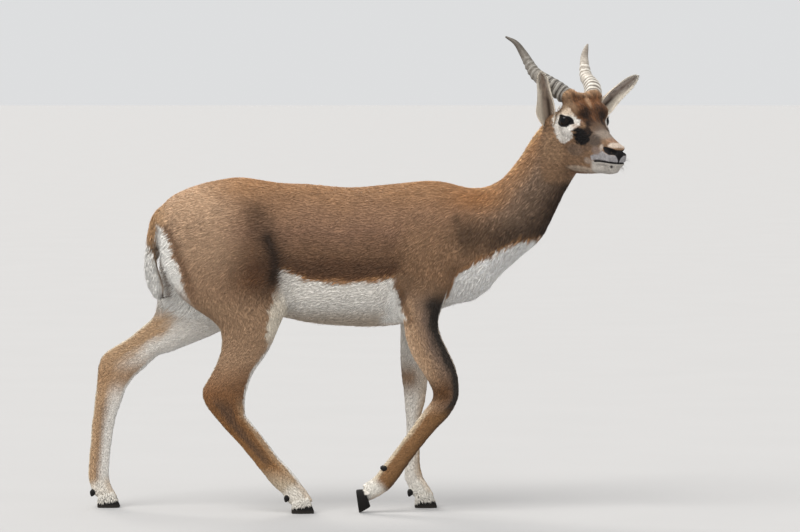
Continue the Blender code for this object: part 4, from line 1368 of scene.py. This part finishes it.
HEAD_LIE = (                                 # place in the head, and the way the hair points there
    ((95, 0, -45), (-1, 0.25, 0.15)), ((60, 8, -32), (-1, 0.05, 0.2)),
    ((20, 8, -15), (-1, 0.05, 0.3)), ((100, 14, -72), (-0.8, 0.3, -0.55)),
    ((60, 24, -68), (-0.95, 0.1, -0.3)), ((60, 16, -98), (-1, 0, -0.1)),
    ((20, 30, -50), (-0.9, 0.1, -0.4)), ((0, 30, -90), (-0.95, 0.1, -0.25)),
    ((-50, 45, -75), (-0.9, 0.1, -0.35)), ((-80, 50, -60), (-0.85, 0.1, -0.5)),
    ((-85, 50, 0), (-0.9, 0.1, -0.1)), ((-5, 25, 5), (-0.8, 0.25, 0.6)),
    ((-40, 0, 25), (-0.75, 0.05, 0.65)), ((-50, 35, 30), (-0.85, 0.2, 0.35)),
    ((-60, 0, 50), (-0.9, 0, 0.3)), ((-40, 48, -52), (-0.8, 0.05, -0.6)),
    ((-15, 40, -35), (-0.5, 0.1, -0.85)), ((-85, 0, 50), (-1, 0, -0.2)),
    ((-60, 30, -112), (-1, 0, -0.2)),
)
HEAD_LIE_REACH = 24.0
TONE_SPREAD = 0.075                           # how unlike in lightness neighbouring locks are
NECK_TONE_SPREAD = 0.25
PALE_FLECKS = 0.07                            # share of the neck's locks with pale tips
LOCK_RIDGE = 0.32                             # height of a lock's ridge over its half width
LIE_SPREAD = 0.13                             # how unlike neighbouring locks are: in their way, in radians,
LENGTH_SPREAD = 0.2                           # and in length, rise and width, as shares
RISE_SPREAD = 0.3
WIDTH_SPREAD = 0.15
STANDING_LOCKS = 0.05                         # share of the locks that rise twice as high
CHART_STEP = 0.0015                           # half a lock's size on the flat chart


def turned(vectors, axes, angles):
    """Vectors turned about unit axes at right angles to them."""
    return vectors * np.cos(angles)[:, None] + np.cross(axes, vectors) * np.sin(angles)[:, None]


def nearby(points, places, values, reach):
    """Values of named places blended at points, the nearest counting most."""
    away = ((points[:, None, :] - np.array(places, float)[None]) ** 2).sum(2) / reach ** 2
    weights = np.exp(-(away - away.min(1)[:, None]))
    return weights @ np.array(values, float) / weights.sum(1)[:, None]


def hair_lie(places, normals, shares):
    """Which way the hair points at each place, along the skin."""
    w, h = places / MM, to_head(places)
    angles = np.radians([row[2] for row in BODY_LIE])
    ways = [(-math.cos(angle), 0, -math.sin(angle)) for angle in angles]
    body = nearby(w[:, [0, 2]], [row[:2] for row in BODY_LIE], ways, BODY_LIE_REACH)
    face = nearby(one_side(h), [row[0] for row in HEAD_LIE], [row[1] for row in HEAD_LIE], HEAD_LIE_REACH)
    face[:, 1] *= np.sign(h[:, 1])
    back = -0.28 * step(-w[:, 0], 440, 470) + 0.1
    tail = np.column_stack((back, 0.25 * np.sign(w[:, 1] - MIDDLE), -np.ones(len(w))))
    lie = (shares[:, TRUNK] + shares[:, NECK])[:, None] * body + shares[:, [FACE]] * from_head(face)
    lie += shares[:, [TAIL]] * tail
    for number in HIND_LEGS + FORELEGS:
        ahead_x, ahead_z = leg_ahead(number, w[:, 2])
        down = np.column_stack((ahead_z - 0.2 * ahead_x, np.zeros(len(w)), -ahead_x - 0.2 * ahead_z))
        lie += shares[:, [number]] * mix(down, body, step(w[:, 2], 430, 520))
    lie -= normals * (lie * normals).sum(1)[:, None]
    return unit(turned(unit(lie), normals, 0.16 * waves(w, 60, 7) + 0.10 * waves(w, 17, 8)))


def hair_sizes(places, shares):
    """Rows of the spacing, length, width and rise of the hair, in mm."""
    w, h = places / MM, to_head(places)
    x, height = w[:, 0], w[:, 2]
    legs, head = shares[:, HIND_LEGS[0]:].sum(1), shares[:, FACE]
    trunk = shares[:, TRUNK] + shares[:, NECK]
    rump = shares[:, TRUNK] + shares[:, HIND_LEGS[0]] + shares[:, HIND_LEGS[1]]
    regions = (
        (LOWER_LEG_HAIR, legs * fall(height, 230, 360)),
        (FACE_HAIR, head * step(h[:, 0], -5, 45)),
        (FACE_HAIR, head * fall(from_eye(h), 24, 40) * 0.8),
        (POLL_HAIR, head * step(h[:, 2], 28, 44) * fall(h[:, 0], -48, -36)),
        (BELLY_HAIR, trunk * fall(height, 440, 485) * fall(x, 90, 150)),
        (BREAST_HAIR, trunk * step(x, 175, 215) * fall(over_belly(w), -10, 30)),
        (RUMP_HAIR, rump * step(behind_rump(w), 0, 22) * step(height, 420, 470)),
    )
    return layered(shares @ np.array([HAIR[kind] for kind in KINDS]), regions)


def scatter(data, places, density, draw):
    """Random places on a mesh: their triangles' corners, the weights of these, and the map's place."""
    data.calc_loop_triangles()
    corners = read(data.loop_triangles, "vertices", 3, int)
    loops = read(data.loop_triangles, "loops", 3, int)
    chart = read(data.uv_layers["OFBake"].data, "uv", 2)
    a, b, c = places[corners].transpose(1, 0, 2)
    area = np.linalg.norm(np.cross(b - a, c - a), axis=1) / 2
    number = np.floor(area * density[corners].mean(1) + draw.random(len(corners))).astype(int)
    chosen = np.repeat(np.arange(len(corners)), number)
    s, t = np.sqrt(draw.random(len(chosen))), draw.random(len(chosen))
    weights = np.column_stack((1 - s, s * (1 - t), s * t))
    return corners[chosen], weights, (chart[loops[chosen]] * weights[..., None]).sum(1)


def at(values, corners, weights):
    """Values of vertices read at places on triangles."""
    return (values[corners] * weights.reshape(*weights.shape, *[1] * (values.ndim - 1))).sum(1)


def onto(surface, points, fallback):
    """The nearest places of a surface to points, and its normals there."""
    found, normals = points.copy(), fallback.copy()
    for i, point in enumerate(points):
        place, normal, _, _ = surface.find_nearest(point)
        found[i], normals[i] = place, normal
    return found, normals


def lock_mesh(name, rows, sides, ups, half_widths, colours, chart_places, root_shade_tones):
    """Locks of hair as one mesh: rows of places from root to tip, the last a point."""
    count, levels = len(rows[0]), len(rows)
    ring = 3 * (levels - 1)
    each = ring + 1
    places = np.empty((count, each, 3))
    shades = np.empty((count, each, 3))
    patches = np.empty((count, each, 2))
    for k in range(levels - 1):
        half = half_widths[k][:, None]
        places[:, 3 * k] = rows[k] - sides[k] * half
        places[:, 3 * k + 1] = rows[k] + sides[k] * half
        places[:, 3 * k + 2] = rows[k] + ups[k] * half * LOCK_RIDGE
        shades[:, 3 * k:3 * k + 3] = (colours * root_shade_tones[k][:, None])[:, None]
        offsets = np.array(((-1, 0), (1, 0), (0, 0))) * CHART_STEP
        patches[:, 3 * k:3 * k + 3] = chart_places[:, None] + offsets
        patches[:, 3 * k:3 * k + 3, 1] += 2 * CHART_STEP * (k / (levels - 1) - 0.5)
    places[:, ring] = rows[-1]
    shades[:, ring] = colours * root_shade_tones[-1][:, None]
    patches[:, ring] = chart_places + (0, CHART_STEP)
    faces = [(0, 2, 1)]
    for k in range(levels - 2):
        for i, j in ((0, 1), (1, 2), (2, 0)):
            a, b, c, d = 3 * k + i, 3 * k + j, 3 * k + 3 + j, 3 * k + 3 + i
            faces += [(a, b, c), (a, c, d)]
    last = 3 * (levels - 2)
    faces += [(last + i, last + j, ring) for i, j in ((0, 1), (1, 2), (2, 0))]
    corners = (np.array(faces)[None] + (np.arange(count) * each)[:, None, None]).reshape(-1, 3)
    data = bpy.data.meshes.new(name)
    data.vertices.add(count * each)
    data.vertices.foreach_set("co", places.ravel())
    data.loops.add(len(corners) * 3)
    data.loops.foreach_set("vertex_index", corners.ravel())
    data.polygons.add(len(corners))
    data.polygons.foreach_set("loop_start", np.arange(len(corners)) * 3)
    data.update(calc_edges=True)
    layer = data.uv_layers.new(name="OFBake")
    layer.data.foreach_set("uv", patches.reshape(-1, 2)[corners.ravel()].ravel())
    put_colours(data, shades.reshape(-1, 3))
    data.shade_smooth()
    return data


def coat_piece(name, slot, *mesh):
    """A piece of the coat made from locks."""
    piece = linked(name, lock_mesh(name, *mesh))
    piece.data.materials.append(hair)
    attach(piece, "root")


def grow_coat():
    """The coat of the whole skin, in pieces by part of the body."""
    draw = np.random.default_rng(11)
    sizes = hair_sizes(skin_places, skin_shares)
    bald = bare_face(to_head(skin_places)) * skin_shares[:, FACE]
    density = np.where(bald > 0.5, 0, 1) / (sizes[:, 0] * MM) ** 2
    corners, weights, chart_places = scatter(skin.data, skin_places, density, draw)
    roots = at(skin_places, corners, weights)
    normals = unit(at(skin_normals, corners, weights))
    shares = at(skin_shares, corners, weights)
    _, length, width, rise = at(sizes, corners, weights).T
    count = len(roots)
    lie = hair_lie(roots, normals, shares)
    lie = turned(lie, normals, draw.normal(0, LIE_SPREAD, count))
    length = length * np.exp(draw.normal(0, LENGTH_SPREAD, count))
    rise = rise * np.exp(draw.normal(0, RISE_SPREAD, count))
    rise = rise * np.where(draw.random(count) < STANDING_LOCKS, 2.0, 1.0)
    width = width * np.exp(draw.normal(0, WIDTH_SPREAD, count))
    surface = BVHTree.FromObject(skin, bpy.context.evaluated_depsgraph_get())
    middle, up_middle = onto(surface, roots + lie * (0.5 * length * MM)[:, None], normals)
    end, up_end = onto(surface, roots + lie * (length * MM)[:, None], normals)
    colours = markings_and_painted_light(middle, up_middle, shares)
    grizzled = shares[:, NECK] * step(roots[:, 2], 0.50, 0.60)
    spread = mix(TONE_SPREAD, NECK_TONE_SPREAD, np.maximum(grizzled, 0.9 * shares[:, FACE]))
    colours = colours * np.exp(draw.normal(0, 1, count) * spread)[:, None]
    colours = colours * (1 + 0.7 * (draw.random(count) < PALE_FLECKS * grizzled))[:, None]
    rows = (roots - normals * 0.3 * MM, middle + up_middle * (0.5 * rise * MM)[:, None],
            end + up_end * (rise * MM)[:, None])
    ahead = unit(end - roots)
    sides = [unit(np.cross(ahead, up)) for up in (normals, up_middle)]
    half_widths = (0.36 * width * MM, 0.5 * width * MM)
    # Each lock darker at the root and paler at the tip: painted shade deep in the coat.
    root_shade_tones = (np.full(count, 0.94), np.full(count, 0.99), np.full(count, 1.05))
    owner = shares.argmax(1)
    for number, name in enumerate(FLESH):
        members = np.flatnonzero(owner == number)
        members = members[np.argsort(roots[members] @ (1.0, 0.0, 0.3), kind="stable")]
        for part, chosen in enumerate(np.array_split(members, math.ceil(len(members) / LOCK_LIMIT))):
            coat_piece(
                f"coat_{name}_{part + 1}", "coat_white" if name == "tail" else "coat_back",
                [row[chosen] for row in rows], [side[chosen] for side in sides],
                [normals[chosen], up_middle[chosen]], [half[chosen] for half in half_widths],
                colours[chosen], chart_places[chosen], [tone[chosen] for tone in root_shade_tones])


hair = grained_material("hair", 650.0, 2.0, (0.82, 1.16), None, Roughness=0.62, Specular_IOR_Level=0.22)
grow_coat()

# ------------------------------------------------------------------------------------------------
# Hair that is rooted apart from the coat: short hair and pale rims on the ears, white hair that
# hangs from the pasterns over the claws, lashes, whiskers, and a tuft before each ear.
HOOF_HAIR_EDGE = {                           # height that the hair hangs down to, at heel and toe, mm
    "hind_right": (4.0, 13.0), "hind_left": (3.0, 10.0),
    "fore_left": (3.0, 10.0), "fore_right": (13.0, 20.0),
}
HOOF_HAIR_SPAN = {"fore_right": 1.1}         # half the arc round the heel that it grows on, else all round
HOOF_HAIRS = 560                             # to a claw
EAR_HAIRS = {                                # count, lean to the side, and length, width and rise in mm
    "outside": (900, 0.15, (5.5, 0.8, 0.3)), "rim": (900, 0.28, (5.0, 0.5, 0.35)),
    "inside": (420, -0.30, (8.0, 0.45, 1.2)),
}
RIM_COLUMNS = (1, EAR_ARC - 3, EAR_ARC + 1, 2 * EAR_ARC - 3)
PALE_EAR_HAIR = (0.92, 0.86, 0.76)
WHISKERS = 70
TUFT_HAIRS = 90
TUFT_PLACE = (-86, 48, 16)                   # before the left ear
LASHES = 30                                  # to an eye


def free_locks(name, slot, roots, ways, normals, sizes, colours, chart_places):
    """A piece of locks that stand free of the skin; sizes are rows of length, width and rise, mm."""
    length, width, rise = np.asarray(sizes).T[:, :, None] * MM
    ways = unit(ways)
    rows = (roots - normals * 0.2 * MM, roots + ways * length * 0.5 + normals * rise * 0.4,
            roots + ways * length + normals * rise)
    side = unit(np.cross(ways, normals))
    halves = (0.36 * width[:, 0], 0.5 * width[:, 0])
    # Each lock darker at the root and paler at the tip: painted shade deep in the coat.
    root_shade_tones = [np.full(len(roots), tone) for tone in (0.88, 0.99, 1.06)]
    coat_piece(name, slot, rows, (side, side), (normals, normals), halves, colours, chart_places, root_shade_tones)


def ear_hair(side, draw):
    """Hair of an ear, which follows its length and turns out over its rim."""
    ear, marks = ears[side]
    values = (read(ear.data.vertices, "co", 3), read(ear.data.vertices, "normal", 3), marks,
              ear_colours(marks, side))
    places, normals, marks, colours = (rows.reshape(EAR_RINGS, 2 * EAR_ARC, 3) for rows in values)
    found = []
    for kind, (count, lean, size) in EAR_HAIRS.items():
        ring = draw.integers(2, EAR_RINGS - 3, count)
        column = draw.integers(1, EAR_ARC - 2, count)
        if kind == "inside":
            column = column + EAR_ARC
        if kind == "rim":
            column = np.array(RIM_COLUMNS)[draw.integers(0, 4, count)] + draw.integers(0, 2, count)
        slip = draw.random(count)[:, None]
        roots = places[ring, column] * (1 - slip) + places[ring + 1, column + 1] * slip
        up = unit(normals[ring, column])
        ahead = unit(places[ring + 2, column] - places[ring - 1, column])
        _, u, inner = marks[ring, column].T
        across = unit(places[ring, column + 1] - places[ring, column - 1])
        across = across * (np.where(inner > 0.5, -1, 1) * np.sign(u))[:, None]
        way = ahead + across * lean + draw.normal(0, 0.16, (count, 3))
        sizes = np.array(size) * np.exp(draw.normal(0, 0.22, (count, 3)))
        tone = colours[ring, column]
        if kind != "outside":
            tone = paint(tone, PALE_EAR_HAIR, np.full(count, 0.85))
        tone = tone * np.exp(draw.normal(0, 0.09, count))[:, None]
        keep = (kind != "inside") | (np.abs(u) > 0.45)
        found.append([part[keep] for part in (roots, way, up, sizes, tone, ear_chart(marks[ring, column]))])
    return [np.concatenate(parts) for parts in zip(*found)]


def hoof_hair(foot, draw):
    """White hair that hangs over a foot's claws down to a slanting edge."""
    place = foot_frame(foot)
    turn = np.array(place.to_3x3()) / MM
    heel_edge, toe_edge = HOOF_HAIR_EDGE[foot]
    rows = []
    for side in (-1, 1):
        for _ in range(HOOF_HAIRS):
            angle = math.pi + draw.uniform(-1, 1) * HOOF_HAIR_SPAN.get(foot, math.pi)
            along = 0.5 + 0.5 * math.cos(angle)
            rise = CORONET_HEEL + (CORONET_FRONT - CORONET_HEEL) * along
            low = heel_edge + (toe_edge - heel_edge) * along + abs(draw.normal(0, 1.2))
            tip = draw.uniform(low, max(low + 1, rise + 2))
            length = draw.uniform(6, 9)
            root, end = (claw_point(side, angle, height / rise, 0.35) for height in (tip + length, tip))
            outward = unit(np.array((math.cos(angle), math.sin(angle) * 1.6, 0.12)))
            rows.append((*(place @ root), *(place @ end), *(turn @ outward), np.linalg.norm(root - end)))
    rows = np.array(rows)
    count = len(rows)
    size = np.column_stack((rows[:, 9], np.full(count, 2.0), draw.uniform(0.2, 0.7, count)))
    colours = np.array((0.80, 0.76, 0.69)) * np.exp(draw.normal(0, 0.07, count))[:, None]
    return rows[:, :3], rows[:, 3:6] - rows[:, :3], unit(rows[:, 6:9]), size, colours


def skin_charts(roots):
    """The place on the skin's unwrap that lies nearest to each root."""
    tree = place_tree(skin_places)
    of_vertex = np.zeros((len(skin_places), 2))
    corners = read(skin.data.loops, "vertex_index", 1, int)
    of_vertex[corners] = read(skin.data.uv_layers["OFBake"].data, "uv", 2)
    return of_vertex[[tree.find(root)[1] for root in roots]]


def chosen_skin(wanted, count, draw):
    """Random vertices of the skin among the wanted ones, with their normals."""
    picked = draw.choice(np.flatnonzero(wanted), count)
    return skin_places[picked], skin_normals[picked]


def free_sizes(count, lengths, width, rise, draw):
    """Rows of a random length, and of the width and rise, in mm."""
    return np.column_stack((draw.uniform(*lengths, count), np.full(count, width), np.full(count, rise)))


def face_hair(draw):
    """Lashes on the upper lids, whiskers on lips and chin, and a cream tuft before each ear."""
    h = to_head(skin_places)
    x, y, z = one_side(h).T
    over = np.abs(mouth_over(h))
    lips = (x > 70) & (x < 108) & (y > 7) & (over > 4) & (over < 15) & (z < -68)
    roots, up = chosen_skin(lips, WHISKERS, draw)
    way = up + from_head(np.tile((0.5, 0, -0.5), (WHISKERS, 1))) + draw.normal(0, 0.2, (WHISKERS, 3))
    size = free_sizes(WHISKERS, (8, 17), 0.32, 0.5, draw)
    found = [(roots, way, up, size, np.tile((0.72, 0.69, 0.64), (WHISKERS, 1)))]
    from_ear = np.linalg.norm(one_side(h) - TUFT_PLACE, axis=1)
    roots, up = chosen_skin(from_ear < from_ear.min() + 5, TUFT_HAIRS, draw)
    outward = np.sign(to_head(roots)[:, 1])
    way = np.column_stack((np.full(TUFT_HAIRS, 0.1), outward * 0.55, np.full(TUFT_HAIRS, 0.9)))
    way = from_head(way) + draw.normal(0, 0.2, (TUFT_HAIRS, 3))
    size = free_sizes(TUFT_HAIRS, (8, 14), 1.0, 1.5, draw)
    found.append((roots, way, up, size, np.tile((0.62, 0.49, 0.35), (TUFT_HAIRS, 1))))
    for side in (-1, 1):
        mirror, axis, along, across = eye_frame(side)
        s = draw.uniform(0.25, 0.90, LASHES)
        u = mix(REAR_CORNER[0], FRONT_CORNER[0], s)
        v = mix(REAR_CORNER[1], FRONT_CORNER[1], s) + lid_edge(s, *UPPER_LID) + 2
        off = np.radians(np.hypot(u, v))[:, None]
        flat = unit(u[:, None] * along + v[:, None] * across)
        ray = axis * np.cos(off) + flat * np.sin(off)
        roots = np.array(BROW) + from_head(np.array(EYE_CENTRE) * mirror + ray * (EYE_RADIUS + 1.4)) * MM
        way = from_head(ray * 0.9 + across * 0.5) + draw.normal(0, 0.1, (LASHES, 3))
        size = free_sizes(LASHES, (3, 5), 0.35, 0.5, draw)
        found.append((roots, way, from_head(ray), size, np.tile((0.015, 0.012, 0.010), (LASHES, 1))))
    return [np.concatenate(parts) for parts in zip(*found)]


hair_draw = np.random.default_rng(23)
for side in ears:
    free_locks("coat_ear_" + side, "ear_skin", *ear_hair(side, hair_draw))
for foot in FEET:
    feathers = hoof_hair(foot, hair_draw)
    free_locks("coat_foot_" + foot, "coat_white", *feathers, skin_charts(feathers[0]))
whiskers = face_hair(hair_draw)
free_locks("coat_face_long", "coat_white", *whiskers, skin_charts(whiskers[0]))

# ------------------------------------------------------------------------------------------------
# The studio: a wide pale floor, two broad soft lights under an even sky, and the camera a little
# above the animal's middle, far off with a long lens.
TARGET = Vector((0.0795, 0.026, 0.5268))
CAMERA_DISTANCE = 9.5
CAMERA_RISE = math.radians(2.5)
SENSOR = 36.0
VIEW_WIDTH = 1.72
FLOOR_RADIUS = 120.0

camera = linked("camera", bpy.data.cameras.new("camera"))
camera.location = TARGET + CAMERA_DISTANCE * Vector((0, -math.cos(CAMERA_RISE), math.sin(CAMERA_RISE)))
camera.rotation_euler = (math.radians(90) - CAMERA_RISE, 0, 0)
camera.data.sensor_width = SENSOR
camera.data.lens = SENSOR * CAMERA_DISTANCE / VIEW_WIDTH
scene = bpy.context.scene
scene.camera = camera
scene.view_settings.view_transform = "Standard"
scene.world = bpy.data.worlds.new("studio")
scene.world.use_nodes = True
surround = scene.world.node_tree.nodes["Background"]
surround.inputs["Color"].default_value = (0.98, 0.99, 1.0, 1)
surround.inputs["Strength"].default_value = 0.74


def soft_sun(name, source, strength, spread, colour):
    """Even soft light that comes from a direction, spread over an angle in degrees."""
    light = linked(name, bpy.data.lights.new(name, "SUN"))
    light.data.energy = strength
    light.data.angle = math.radians(spread)
    light.data.color = colour
    light.rotation_euler = Vector(source).to_track_quat("Z", "Y").to_euler()


soft_sun("key", (-0.42, -0.50, 0.85), 2.55, 40, (1.0, 0.97, 0.92))
soft_sun("rim", (-0.35, 0.70, 0.62), 1.6, 30, (1.0, 0.95, 0.88))

bpy.ops.mesh.primitive_circle_add(vertices=96, radius=FLOOR_RADIUS, fill_type="NGON")
floor = bpy.context.object
floor.name = "floor"
floor_material, floor_shader, start = new_material("floor", Roughness=0.9, Specular_IOR_Level=0.1)
floor_grain = start.node("ShaderNodeTexNoise", {}, {
    "Vector": start.node("ShaderNodeTexCoord", output="Object"), "Scale": 3.0, "Detail": 4.0})
floor_tone = start.node("ShaderNodeMix", {"data_type": "RGBA"}, {
    0: floor_grain, 6: (0.43, 0.43, 0.435, 1), 7: (0.45, 0.45, 0.455, 1)}, output=2)
floor_tone.into(floor_shader.inputs["Base Color"])
floor.data.materials.append(floor_material)
